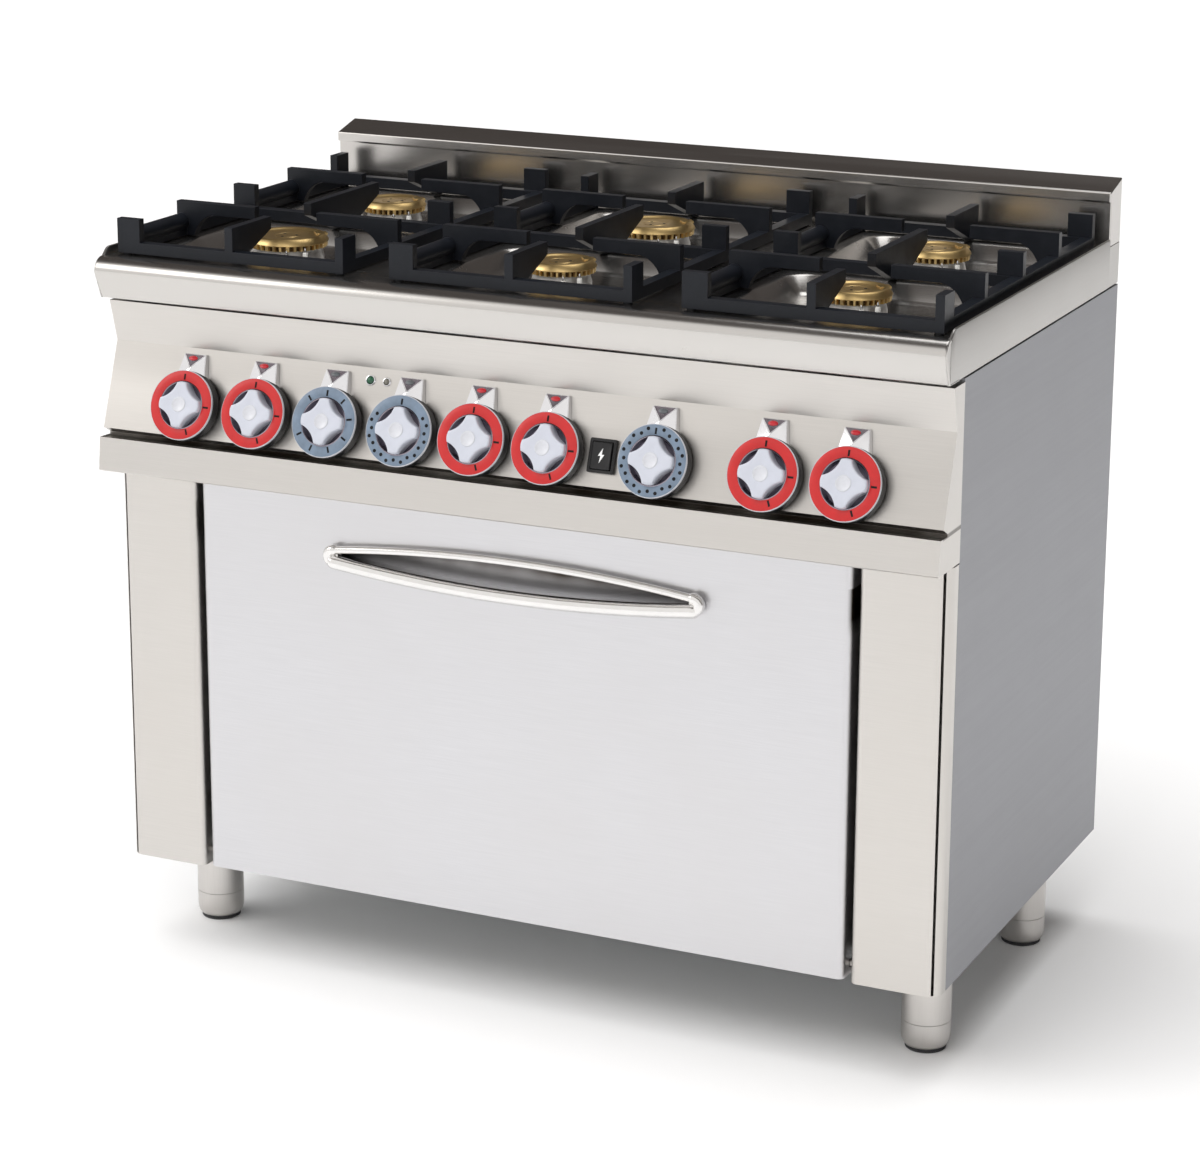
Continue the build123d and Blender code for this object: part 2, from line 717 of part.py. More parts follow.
for number, x in enumerate(gas_knob_x, start=1):
    with BuildPart() as spindle:
        with BuildSketch(panel_plane(x).offset(-spindle_length_in)):
            d_profile()
        extrude(amount=spindle_length_in + spindle_length_out)
    keep(spindle, f"gas_spindle_{number}")
    keep(build_knob(x, stem=False), f"gas_knob_{number}")

for label, x in oven_knob_x.items():
    keep(build_knob(x, stem=True), label)

with BuildPart() as gas_taps:
    for x in gas_knob_x:
        face = panel_plane(x)
        with BuildSketch(face.offset(-manifold_depth + manifold_radius)):
            Circle(tap_radius)
        extrude(amount=manifold_depth - manifold_radius - 8)
        with BuildSketch(face.offset(-spindle_length_in - 2)):
            Circle(spindle_radius + running_gap)
        extrude(amount=spindle_length_in, mode=Mode.SUBTRACT)
keep(gas_taps, "gas_taps")

with BuildPart() as oven_controls:
    for x in oven_knob_x.values():
        face = panel_plane(x)
        with BuildSketch(face.offset(-control_depth[1])):
            RectangleRounded(control_body, control_body, 4)
        extrude(amount=control_depth[1] - control_depth[0])
        with BuildSketch(face.offset(-30)):
            Circle(stem_radius + running_gap)
        extrude(amount=30, mode=Mode.SUBTRACT)
keep(oven_controls, "oven_controls")

with BuildPart() as knob_pointers:
    for x in gas_knob_x + list(oven_knob_x.values()):
        face = panel_plane(x)
        with BuildSketch(face) as pointer:
            with BuildLine():
                Polyline(*pointer_outline, close=True)
            make_face()
            Circle(knob_radius + 2, mode=Mode.SUBTRACT)
        extrude(amount=pointer_height, taper=8)
keep(knob_pointers, "knob_pointers")

with BuildPart() as pilot_lamps:
    for radius, x in lamp_x.items():
        face = panel_plane(x, lamp_rise)
        with BuildSketch(face.offset(-8)):
            Circle(radius - 1.8)
        extrude(amount=8)
        with BuildSketch(face):
            Circle(radius)
        extrude(amount=3, taper=25)
keep(pilot_lamps, "pilot_lamps")

with BuildPart() as igniter_bezel:
    with BuildSketch(panel_plane(igniter_x)):
        RectangleRounded(igniter_hole[0] + 2 * igniter_rim, igniter_hole[1] + 2 * igniter_rim, 2)
        Rectangle(*igniter_hole, mode=Mode.SUBTRACT)
    extrude(amount=5)
keep(igniter_bezel, "igniter_bezel")

with BuildPart() as igniter_button:
    with BuildSketch(panel_plane(igniter_x).offset(-10)):
        RectangleRounded(*igniter_key, 1.5)
    extrude(amount=17)
keep(igniter_button, "igniter_button")

with BuildPart() as gas_manifold:
    manifold_y = knob_y + manifold_depth * cos(face_angle)
    manifold_z = knob_z - manifold_depth * sin(face_angle)
    with BuildLine() as supply_path:
        FilletPolyline(
            (gas_knob_x[0] - 30, manifold_y, manifold_z),
            (inlet_x, manifold_y, manifold_z),
            (inlet_x, inlet_y, manifold_z),
            (inlet_x, inlet_y, inlet_z + inlet_length),
            radius=30,
        )
    with BuildSketch(Plane.YZ.offset(gas_knob_x[0] - 30)):
        with Locations((manifold_y, manifold_z)):
            Circle(manifold_radius)
    sweep(path=supply_path.wires()[0])
    rod((inlet_x, inlet_y, inlet_z), (inlet_x, inlet_y, inlet_z + inlet_length), inlet_radius)
keep(gas_manifold, "gas_manifold")

# ================================================================ burners

with BuildPart() as burner_bodies:
    for x, y, cap_radius in burners:
        rod((x, y, well_z), (x, y, cap_seat_z), cap_radius - 6)
        rod((x, y, well_z - 40), (x, y, well_z + 1), burner_hole - 3)
        rod((x, y, well_z - 38), (x, y, well_z - 8), burner_hole - 6, Mode.SUBTRACT)
        rod((x, y, cap_seat_z - 9), (x, y, cap_seat_z + 1), 24.5, Mode.SUBTRACT)
keep(burner_bodies, "burner_bodies")

for number, (x, y, cap_radius) in enumerate(burners, start=1):
    with BuildPart() as cap:
        rod((x, y, cap_seat_z), (x, y, cap_seat_z + 5), cap_radius - 2)
        with BuildSketch(Plane((x, y, cap_seat_z + 5))):
            Circle(cap_radius)
        extrude(amount=cap_top_z - cap_seat_z - 5, taper=20)
        with BuildSketch(Plane((x, y, cap_top_z))):
            Circle(cap_radius - 10)
        extrude(amount=-2.5, taper=45, mode=Mode.SUBTRACT)
        rod((x, y, cap_seat_z - 8), (x, y, cap_seat_z), 24)
        with Locations((x, y, cap_seat_z + 2.5)):
            with PolarLocations(cap_radius - 2, 36):
                Box(4, 2.4, 4, mode=Mode.SUBTRACT)
    keep(cap, f"burner_cap_{number}")

# ================================================================ grates


def side_finger(x_rail, x_tip, y):
    """A pot finger along X, from a side rail to near the burner, with an arched underside."""
    way = 1 if x_tip > x_rail else -1
    foot_x = x_rail + way * (rail + heel)
    arch_x = foot_x + way * arch
    with BuildSketch(Plane.XZ.offset(-y - finger / 2)) as section:
        with BuildLine():
            Polyline(
                (foot_x, rail_base_z),
                (x_rail, rail_base_z),
                (x_rail, finger_top_z),
                (x_tip, finger_top_z),
                (x_tip, finger_top_z - finger_tip),
                (arch_x, finger_top_z - finger_tip),
            )
            RadiusArc((arch_x, finger_top_z - finger_tip), (foot_x, rail_base_z), -way * arch_radius)
        make_face()
    extrude(section.sketch, amount=finger)


def end_finger(x, y_rail, y_tip):
    """A pot finger along Y, from a front, back or middle rail to near the burner."""
    way = 1 if y_tip > y_rail else -1
    outline = [
        (y_rail, rail_base_z),
        (y_rail, finger_top_z),
        (y_tip, finger_top_z),
        (y_tip, finger_top_z - finger_tip),
        (y_rail + way * 30, rail_base_z + 4),
        (y_rail + way * 20, rail_base_z),
    ]
    slab(outline, x - finger / 2, x + finger / 2)


def build_grate(x):
    """One cast-iron grate over a front and a back burner."""
    left, right = x - grate_width / 2, x + grate_width / 2
    front, back = hob_y - grate_depth / 2, hob_y + grate_depth / 2
    with BuildPart() as grate:
        block((left, front, rail_base_z), (right, back, rail_top_z))
        for low, high in ((front + rail, hob_y - rail / 2), (hob_y + rail / 2, back - rail)):
            block((left + rail, low, rail_base_z - 1), (right - rail, high, rail_top_z + 1), Mode.SUBTRACT)
        for y in burner_y:
            side_finger(left, x - side_tip, y)
            side_finger(right, x + side_tip, y)
            front_row = y < hob_y
            outer = front if front_row else back
            end_finger(x, outer, y + (-end_tip if front_row else end_tip))
            end_finger(x, hob_y, y + (end_tip if front_row else -end_tip))
            barrel_low = front + 24 if front_row else hob_y + 12
            barrel_x, barrel_z = left + rail / 2, rail_top_z + 2.5
            rod((barrel_x, barrel_low, barrel_z), (barrel_x, y, barrel_z), hinge_barrel)
        block((left, front, rail_base_z), (left + corner_tab, front + finger, finger_top_z))
        block((right - finger, front, rail_base_z), (right, front + corner_tab, finger_top_z))
        block((right - corner_tab, back - finger, rail_base_z), (right, back, finger_top_z))
        block((left, back - corner_tab, rail_base_z), (left + finger, back, finger_top_z))
        for low, high in ((left, left + corner_tab), (right - corner_tab, right)):
            block((low, hob_y - finger / 2, rail_base_z), (high, hob_y + finger / 2, finger_top_z))
        for peg_x in (left + grate_peg_inset, right - grate_peg_inset):
            for peg_y in (front + grate_peg_inset, back - grate_peg_inset):
                rod((peg_x, peg_y, worktop_z), (peg_x, peg_y, rail_base_z + 1), grate_peg)
    return grate


for number, x in enumerate(grate_x, start=1):
    keep(build_grate(x), f"grate_{number}")
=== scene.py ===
"""Looks of a six-burner gas range on a pale studio floor.

Lengths are in millimetres until a mesh is made.
"""

import math

import bmesh
import bpy
from mathutils import Matrix, Vector


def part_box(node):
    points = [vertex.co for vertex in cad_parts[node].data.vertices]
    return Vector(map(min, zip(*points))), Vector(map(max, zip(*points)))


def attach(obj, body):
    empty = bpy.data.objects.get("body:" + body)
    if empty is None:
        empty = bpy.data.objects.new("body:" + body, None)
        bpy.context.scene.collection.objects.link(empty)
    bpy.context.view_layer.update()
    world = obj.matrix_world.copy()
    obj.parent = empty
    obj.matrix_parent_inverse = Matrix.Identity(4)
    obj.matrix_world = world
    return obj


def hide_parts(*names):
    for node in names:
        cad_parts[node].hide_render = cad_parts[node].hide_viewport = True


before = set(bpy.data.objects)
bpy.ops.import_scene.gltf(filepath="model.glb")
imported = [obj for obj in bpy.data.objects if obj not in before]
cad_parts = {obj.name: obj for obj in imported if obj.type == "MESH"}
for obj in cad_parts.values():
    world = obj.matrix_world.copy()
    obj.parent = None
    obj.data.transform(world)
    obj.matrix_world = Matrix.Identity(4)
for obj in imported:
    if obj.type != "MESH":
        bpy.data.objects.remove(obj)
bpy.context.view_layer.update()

MM = 0.001

# ---- dimensions shared with the CAD
half_width = 500.0
front_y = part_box("worktop")[0].y / MM
back_y = front_y + 600.0
splash_front = front_y + 561.0
worktop_z = 825.0
side_lip_z = 834.0
apron_bottom = 778.0
apron_lean = 12.0
apron_return = 30.0
nose_radius = 16.0
nose_steps = 12
sheet = 1.5
grate_x = (-343.5, 0.0, 343.5)
burner_y = (front_y + 160.0, front_y + 412.0)
well_size = (230.0, 216.0)
well_depth = 22.0
well_corner = 30.0
well_hole_radius = 36.0
cup_base_z = 790.0
cap_base_z = 825.0
cap_top_z = 839.0
cap_teeth = 34
cap_steps = 216
tooth_depth = 5.0
large_cap = 46.0
small_cap = 39.0
knob_z = 661.0
knob_y = front_y + 20.82
face_angle = math.atan2(33.5, 94.7)
knob_base = 4.3
knob_height = 25.6
ring_top = knob_height - 6.0
igniter_x = 116.0
lamp_rise = 52.5


def centre_x(label):
    """The middle of a CAD node across the range."""
    low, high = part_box(label)
    return (low.x + high.x) / 2 / MM


gas_knob_x = [centre_x(f"gas_knob_{number}") for number in range(1, 7)]
oven_knob_x = {label: centre_x(label) for label in ("selector_knob", "thermostat_knob", "timer_knob")}


# ================================================================ mesh building


def panel_frame(x, up=0.0):
    """Places on the sloping knob face (right, up the slope, outwards) carried to the range's own frame."""
    s, c = math.sin(face_angle), math.cos(face_angle)
    return Matrix(((1, 0, 0, x), (0, s, -c, knob_y + up * s), (0, c, s, knob_z + up * c), (0, 0, 0, 1)))


def finish_piece(bm, name, place=None, smooth_angle=35.0):
    """Turn a bmesh in millimetres into an object in metres, smooth except at its real edges."""
    bmesh.ops.recalc_face_normals(bm, faces=bm.faces)
    bm.transform(Matrix.Scale(MM, 4))
    mesh = bpy.data.meshes.new(name)
    bm.to_mesh(mesh)
    bm.free()
    for polygon in mesh.polygons:
        polygon.use_smooth = True
    mesh.set_sharp_from_angle(angle=math.radians(smooth_angle))
    piece = bpy.data.objects.new(name, mesh)
    bpy.context.scene.collection.objects.link(piece)
    if place is not None:
        moved = place.copy()
        moved.translation = moved.translation * MM
        piece.matrix_world = moved
    return piece


def bridge_rings(bm, rings, closed=False):
    """Join neighbouring rings of vertices with quads. A ring of one vertex makes a fan."""
    pairs = list(zip(rings, rings[1:]))
    if closed:
        pairs.append((rings[-1], rings[0]))
    for a, b in pairs:
        count = max(len(a), len(b))
        for i in range(count):
            j = (i + 1) % count
            corners = [a[i % len(a)], a[j % len(a)], b[j % len(b)], b[i % len(b)]]
            unique = []
            for corner in corners:
                if corner not in unique:
                    unique.append(corner)
            if len(unique) > 2:
                bm.faces.new(unique)


def lathe(bm, profile, steps=72, closed=False, shape=None, centre=(0.0, 0.0)):
    """Turn a (radius, height) profile round Z. shape(angle, radius, height) may change the radius."""
    rings = []
    for radius, height in profile:
        if radius < 1e-6:
            rings.append([bm.verts.new((centre[0], centre[1], height))])
            continue
        ring = []
        for step in range(steps):
            angle = 2 * math.pi * step / steps
            r = shape(angle, radius, height) if shape else radius
            x = centre[0] + r * math.cos(angle)
            y = centre[1] + r * math.sin(angle)
            ring.append(bm.verts.new((x, y, height)))
        rings.append(ring)
    bridge_rings(bm, rings, closed)
    return rings


def prism(bm, outline, low, high, edge=0.3):
    """An outline of (x, y) points carried from one height to another, its upper edge softened."""
    middle = Vector((sum(p[0] for p in outline), sum(p[1] for p in outline))) / len(outline)
    rings = []
    for inset, height in ((0, low), (0, high - edge), (edge, high)):
        ring = []
        for point in outline:
            way = Vector(point) - middle
            scale = 1 - inset / max(way.length, 1e-6)
            spot = middle + way * scale
            ring.append(bm.verts.new((spot.x, spot.y, height)))
        rings.append(ring)
    bridge_rings(bm, rings)
    bm.faces.new(list(reversed(rings[0])))
    bm.faces.new(rings[-1])


def slab(bm, outline, x_low, x_high):
    """A closed outline of (y, z) points carried across the range from one x to another."""
    walls = []
    for x in (x_low, x_high):
        walls.append([bm.verts.new((x, y, z)) for y, z in outline])
    bridge_rings(bm, walls)
    bm.faces.new(walls[0])
    bm.faces.new(list(reversed(walls[1])))


def polar(turn, reach):
    """A point at a distance from the origin, turn degrees anticlockwise from X."""
    angle = math.radians(turn)
    return reach * math.cos(angle), reach * math.sin(angle)


def rounded_rectangle(size_x, size_y, radius, per_corner=12):
    """Points of a rounded rectangle about the origin, anticlockwise."""
    radius = max(radius, 0.1)
    points = []
    for quarter, (sx, sy) in enumerate(((1, 1), (-1, 1), (-1, -1), (1, -1))):
        cx = sx * (size_x / 2 - radius)
        cy = sy * (size_y / 2 - radius)
        for step in range(per_corner + 1):
            angle = math.pi / 2 * (quarter + step / per_corner)
            points.append((cx + radius * math.cos(angle), cy + radius * math.sin(angle)))
    return points


def dress(piece, body, slot, material, *nodes):
    """Hang a piece on the body it rides on, give it its material and hide the CAD nodes it stands for. slot,
    a finish name, is not used.
    """
    piece.data.materials.clear()
    piece.data.materials.append(material)
    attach(piece, body)
    if nodes:
        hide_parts(*nodes)
    return piece


# ================================================================ materials

# Colour of the painted shade that darkens creases, grooves and recesses in brushed steel.
painted_crease_shade = (0.045, 0.035, 0.027)


class Shader:
    """One node material: a Principled shader with helpers that wire its detail."""

    def __init__(self, name, **sockets):
        self.material = bpy.data.materials.new(name)
        self.material.use_nodes = True
        self.tree = self.material.node_tree
        self.surface = self.tree.nodes["Principled BSDF"]
        self.spot = self.tree.nodes.new("ShaderNodeTexCoord").outputs["Object"]
        for socket, value in sockets.items():
            self.surface.inputs[socket.replace("_", " ")].default_value = value

    def node(self, kind, **values):
        made = self.tree.nodes.new(kind)
        for key, value in values.items():
            setattr(made, key, value)
        return made

    def link(self, source, target):
        self.tree.links.new(source, target)

    def noise(self, scale, stretch=(1, 1, 1), detail=4.0, roughness=0.55):
        """Noise over the object, in cycles per metre, stretched by shrinking the scale along an axis."""
        mapping = self.node("ShaderNodeMapping")
        mapping.inputs["Scale"].default_value = stretch
        self.link(self.spot, mapping.inputs["Vector"])
        texture = self.node("ShaderNodeTexNoise")
        texture.inputs["Scale"].default_value = scale
        texture.inputs["Detail"].default_value = detail
        texture.inputs["Roughness"].default_value = roughness
        self.link(mapping.outputs["Vector"], texture.inputs["Vector"])
        return texture.outputs["Fac"]

    def spread(self, source, low, high, start=0.3, stop=0.7):
        """Map a 0 to 1 pattern to a range of numbers."""
        made = self.node("ShaderNodeMapRange")
        made.inputs["From Min"].default_value = start
        made.inputs["From Max"].default_value = stop
        made.inputs["To Min"].default_value = low
        made.inputs["To Max"].default_value = high
        self.link(source, made.inputs["Value"])
        return made.outputs["Result"]

    def blend(self, factor, a, b):
        """Mix two colours by a pattern."""
        made = self.node("ShaderNodeMix", data_type="RGBA")
        self.link(factor, made.inputs["Factor"])
        for socket, value in ((made.inputs["A"], a), (made.inputs["B"], b)):
            if isinstance(value, tuple):
                socket.default_value = (*value, 1.0)
            else:
                self.link(value, socket)
        return made.outputs["Result"]

    def combine(self, a, b, operation="ADD"):
        """Add two patterns, or join them by another sum."""
        made = self.node("ShaderNodeMath", operation=operation)
        self.link(a, made.inputs[0])
        self.link(b, made.inputs[1])
        return made.outputs["Value"]

    def crease(self, low_z, dark_z, high_z, front):
        """Mask of painted shade: 1 within a band of height and behind a front, in millimetres, with soft
        uneven edges; else 0.
        """
        parts = self.node("ShaderNodeSeparateXYZ")
        self.link(self.spot, parts.inputs["Vector"])
        above = self.spread(parts.outputs["Z"], 0, 1, low_z * MM, dark_z * MM)
        below = self.spread(parts.outputs["Z"], 1, 0, (high_z - 0.8) * MM, (high_z + 0.8) * MM)
        behind = self.spread(parts.outputs["Y"], 0, 1, (front - 1.5) * MM, (front + 2.5) * MM)
        cloud = self.spread(self.noise(9, (1, 0.1, 0.1), 2.0), 0.72, 1.0, 0.4, 0.56)
        result = above
        for pattern in (below, behind, cloud):
            result = self.combine(result, pattern, "MULTIPLY")
        return result

    def colour(self, source):
        self.link(source, self.surface.inputs["Base Color"])

    def gloss(self, source):
        self.link(source, self.surface.inputs["Roughness"])

    def bump(self, source, depth, strength=1.0):
        """Relief of a given depth in millimetres."""
        made = self.node("ShaderNodeBump")
        made.inputs["Distance"].default_value = depth * MM
        made.inputs["Strength"].default_value = strength
        self.link(source, made.inputs["Height"])
        self.link(made.outputs["Normal"], self.surface.inputs["Normal"])


def brushed(name, tint, roughness, grain=(0.02, 1, 1), contrast=0.06, depth=0.004, mottling=0.10, fold=()):
    """Brushed sheet metal: fine streaks along the stretched axis, slow mottling and handling smears.

    fold lists creases that are coloured dark, as they lie in shade, in millimetres: the Z where each
    starts, the Z where it is darkest, the highest Z and the foremost Y.
    """
    made = Shader(name, Metallic=1.0, Anisotropic=0.4)
    streaks = made.noise(900, grain, 3.0)
    coarse = made.noise(160, grain, 2.0)
    mottle = made.noise(3.5, (1, 1, 1), 3.0, 0.6)
    smears = made.noise(14, (0.6, 1, 1.6), 5.0, 0.65)
    dark = tuple(value * (1 - contrast) for value in tint)
    grained = made.blend(made.spread(streaks, 0, 1), dark, tint)
    warm = tuple(value * (1 - mottling * share) for value, share in zip(tint, (0.5, 0.6, 0.75)))
    clean = made.blend(made.spread(mottle, 0, 0.7), grained, warm)
    for crease in fold:
        clean = made.blend(made.crease(*crease), clean, painted_crease_shade)
    made.colour(clean)
    base = made.spread(coarse, roughness * 0.97, roughness * 1.04)
    made.gloss(made.combine(base, made.spread(smears, -0.01, 0.015, 0.3, 0.8)))
    made.bump(streaks, depth)
    return made.material


def enamel(name, tint, roughness, gleam=0.3, grain_depth=0.10, scale=260.0, wear=(0.10, 0.10, 0.11)):
    """Fired enamel over iron or sheet: orange-peel relief, fine pits and slightly worn patches."""
    made = Shader(name, Specular_IOR_Level=gleam)
    peel = made.noise(scale, (1, 1, 1), 3.0)
    patches = made.noise(18, (1, 1, 1), 6.0, 0.7)
    made.colour(made.blend(made.spread(patches, 0, 0.6, 0.45, 0.8), tint, wear))
    made.gloss(made.spread(patches, roughness * 0.8, roughness * 1.25))
    made.bump(peel, grain_depth, 0.6)
    return made.material


def turned(name, tint, roughness, rings=900.0, soot=(0.16, 0.11, 0.06)):
    """Machined metal: concentric turning marks about the piece's own Z axis, with heat tint and soot."""
    made = Shader(name, Metallic=1.0)
    wave = made.node("ShaderNodeTexWave", wave_type="RINGS", rings_direction="Z", wave_profile="SIN")
    wave.inputs["Scale"].default_value = rings
    wave.inputs["Distortion"].default_value = 0.6
    wave.inputs["Detail"].default_value = 2.0
    made.link(made.spot, wave.inputs["Vector"])
    cloud = made.noise(45, (1, 1, 1), 5.0, 0.65)
    made.colour(made.blend(made.spread(cloud, 0, 0.5, 0.45, 0.85), tint, soot))
    made.gloss(made.spread(cloud, roughness * 0.85, roughness * 1.3))
    made.bump(wave.outputs["Fac"], 0.008)
    return made.material


def moulded(name, tint, roughness, coat=0.0, grain_depth=0.02, scale=1500.0, shade=0.85):
    """Moulded plastic: very fine texture, slight gloss variation and rubbed patches."""
    made = Shader(name, Coat_Weight=coat, Coat_Roughness=0.08)
    fine = made.noise(scale, (1, 1, 1), 2.0)
    rub = made.noise(60, (1, 1, 1), 4.0, 0.6)
    made.colour(made.blend(made.spread(rub, 0, 1), tint, tuple(value * shade for value in tint)))
    made.gloss(made.spread(rub, roughness * 0.8, roughness * 1.3))
    made.bump(fine, grain_depth, 0.5)
    return made.material


def polished(name, tint, roughness, depth=0.01):
    """Bright plated or polished metal with faint hairlines and fingermarks."""
    made = Shader(name, Metallic=1.0)
    hair = made.noise(700, (1, 0.05, 0.3), 2.0)
    marks = made.noise(40, (1, 1, 1), 5.0, 0.65)
    made.colour(made.blend(made.spread(marks, 0, 0.5), tint, tuple(value * 0.9 for value in tint)))
    made.gloss(made.spread(marks, roughness * 0.6, roughness * 1.6))
    made.bump(hair, depth, 0.4)
    return made.material


def wool_board(name):
    """Fibrous yellow-brown insulation."""
    made = Shader(name, Roughness=0.95)
    fibres = made.noise(220, (1, 0.3, 1), 8.0, 0.75)
    made.colour(made.blend(made.spread(fibres, 0, 1), (0.42, 0.34, 0.16), (0.72, 0.62, 0.36)))
    made.bump(fibres, 1.5, 0.8)
    return made.material


pillar_steel = brushed("pillar_steel", (0.625, 0.605, 0.58), 0.34)
# Painted shade in the groove below the knob face.
groove_shade = (617.4, 618.4, 622.2, front_y + 8.0)
panel_steel = brushed("panel_steel", (0.625, 0.605, 0.58), 0.34, depth=0.002, mottling=0.07, fold=(groove_shade,))
# Painted shade: a dark line along the top of the door and a dark gradient in the handle pocket.
door_gap_shade = (570.0, 571.0, 600.0, front_y)
handle_pocket_shade = (492.0, 512.0, 545.0, front_y + 39.5)
door_steel = brushed("door_steel", (0.63, 0.63, 0.65), 0.33, fold=(door_gap_shade, handle_pocket_shade))
# The side panels are the front's steel painted darker, as painted shade.
side_steel_painted_dark = brushed("side_steel_painted_dark", (0.34, 0.345, 0.365), 0.50, (1, 0.02, 1), 0.02, 0.001, 0.03)
splash_steel = brushed("splash_steel", (0.58, 0.56, 0.54), 0.25, (0.02, 1, 1), 0.04, 0.0004, 0.06)
hob_steel = brushed("hob_steel", (0.60, 0.585, 0.565), 0.26, (0.02, 1, 1), 0.04, 0.0004, 0.06)
skirt_steel = brushed("skirt_steel", (0.50, 0.49, 0.475), 0.34, (1, 0.02, 1), 0.04, 0.0004, 0.06)
rear_zinc = brushed("rear_zinc", (0.50, 0.52, 0.53), 0.45, (1, 1, 1), 0.2, 0.02)
leg_steel = brushed("leg_steel", (0.62, 0.60, 0.58), 0.30, (1, 1, 0.03))
liner_enamel = enamel("liner_enamel", (0.03, 0.03, 0.035), 0.25, 0.5)
grate_iron = enamel("grate_iron", (0.007, 0.0085, 0.012), 0.36, 0.26, 0.10, 420.0, (0.016, 0.018, 0.024))
cap_brass = turned("cap_brass", (0.90, 0.66, 0.30), 0.36, 260.0, (0.42, 0.28, 0.11))
cap_shade = turned("cap_shade", (0.10, 0.06, 0.025), 0.5, 260.0, (0.05, 0.03, 0.015))
# Chrome painted dark purple, as painted shade and painted reflection, for the knob bowls and the pointers'
# upper faces.
chrome_painted_dark = polished("chrome_painted_dark", (0.30, 0.27, 0.31), 0.16)
fitting_brass = turned("fitting_brass", (0.80, 0.58, 0.28), 0.30)
burner_alloy = turned("burner_alloy", (0.70, 0.69, 0.67), 0.42, 500.0, (0.35, 0.33, 0.31))
chrome = polished("chrome", (0.80, 0.80, 0.82), 0.07)
bright_wire = polished("bright_wire", (0.72, 0.72, 0.72), 0.18)
handle_steel = polished("handle_steel", (0.80, 0.79, 0.78), 0.13)
knob_red = moulded("knob_red", (0.50, 0.008, 0.009), 0.36, 0.1)
knob_grey = moulded("knob_grey", (0.17, 0.23, 0.31), 0.36, 0.1, shade=0.7)
knob_pearl = moulded("knob_pearl", (0.50, 0.52, 0.585), 0.32, 0.1, shade=0.95)
knob_side = moulded("knob_side", (0.56, 0.57, 0.61), 0.25, 0.3)
black_plastic = moulded("black_plastic", (0.004, 0.004, 0.005), 0.4)
print_black = moulded("print_black", (0.004, 0.004, 0.005), 0.8)
print_white = moulded("print_white", (0.85, 0.85, 0.85), 0.5)
seal_rubber = moulded("seal_rubber", (0.035, 0.035, 0.038), 0.7, 0.0, 0.08, 600.0)
foot_rubber = moulded("foot_rubber", (0.02, 0.02, 0.022), 0.6, 0.0, 0.08, 600.0)
ceramic = moulded("ceramic", (0.85, 0.84, 0.80), 0.3, 0.5)
lamp_green = moulded("lamp_green", (0.0, 0.10, 0.04), 0.12, 0.5, shade=0.4)
lamp_clear = moulded("lamp_clear", (0.20, 0.19, 0.16), 0.12, 0.5, shade=0.5)
gem_red = moulded("gem_red", (0.48, 0.01, 0.02), 0.15, 0.3)
gem_grey = moulded("gem_grey", (0.10, 0.11, 0.12), 0.15, 0.3)
mineral_wool = wool_board("mineral_wool")

# ================================================================ CAD nodes that stay

node_looks = {
    "splashback": (splash_steel, 4.0),
    "control_panel": (panel_steel, 0.8),
    "left_pillar": (pillar_steel, 0.4),
    "right_pillar": (pillar_steel, 0.4),
    "left_side_panel": (side_steel_painted_dark, 0.5),
    "right_side_panel": (side_steel_painted_dark, 0.5),
    "rear_panel": (rear_zinc, 0.4),
    "base_tray": (rear_zinc, 0.4),
    "legs": (leg_steel, 0.4),
    "oven_liner": (liner_enamel, 0.4),
    "oven_insulation": (mineral_wool, 1.0),
    "door_insulation": (mineral_wool, 1.0),
    "oven_seal": (seal_rubber, 2.0),
    "rack_rails": (bright_wire, 0.0),
    "oven_rack": (bright_wire, 0.0),
    "heating_elements": (rear_zinc, 0.0),
    "fan_motor": (rear_zinc, 0.8),
    "fan_cover": (liner_enamel, 0.4),
    "oven_fan": (bright_wire, 0.3),
    "gas_taps": (fitting_brass, 0.6),
    "oven_controls": (black_plastic, 0.6),
    "gas_manifold": (rear_zinc, 0.0),
    "igniter_bezel": (black_plastic, 0.5),
    "door_outer_skin": (door_steel, 0.5),
    "door_inner_panel": (door_steel, 0.5),
    "door_hinges": (rear_zinc, 0.5),
    "door_handle": (handle_steel, 0.0),
}
for number in range(1, 4):
    node_looks[f"grate_{number}"] = (grate_iron, 1.8)
for number in range(1, 7):
    node_looks[f"gas_spindle_{number}"] = (fitting_brass, 0.3)

for label, (material, edge) in node_looks.items():
    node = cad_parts[label]
    node.data.materials.clear()
    node.data.materials.append(material)
    weld = node.modifiers.new("weld", "WELD")
    weld.merge_threshold = 0.00002
    if edge:
        flat = node.modifiers.new("flat", "DECIMATE")
        flat.decimate_type = "DISSOLVE"
        flat.angle_limit = math.radians(0.5)
        bevel = node.modifiers.new("bevel", "BEVEL")
        bevel.width = edge * MM
        bevel.segments = 2
        bevel.limit_method = "ANGLE"
        bevel.angle_limit = math.radians(32)
        bevel.harden_normals = False
    normals = node.modifiers.new("normals", "WEIGHTED_NORMAL")
    normals.keep_sharp = True

# ================================================================ worktop


def well_rings(bm, x, y):
    """Rings of one pressed well, from the flat sheet down a soft rim to its floor, and the burner hole."""
    rim = ((2.0, 0.0), (0.0, 0.5), (-2.5, 2.2))
    wall = ((-12.5, 16.5), (-15.5, 19.8), (-20.0, 21.6), (-26.0, well_depth))
    rings = []
    for grow, drop in rim + wall:
        outline = rounded_rectangle(well_size[0] + 2 * grow, well_size[1] + 2 * grow, well_corner + grow)
        rings.append([bm.verts.new((x + px, y + py, worktop_z - drop)) for px, py in outline])
    hole = []
    for px, py in rounded_rectangle(*well_size, well_corner):
        dx, dy = polar(math.degrees(math.atan2(py, px)), well_hole_radius)
        hole.append(bm.verts.new((x + dx, y + dy, worktop_z - well_depth)))
    rings.append(hole)
    bridge_rings(bm, rings)
    return rings[0]


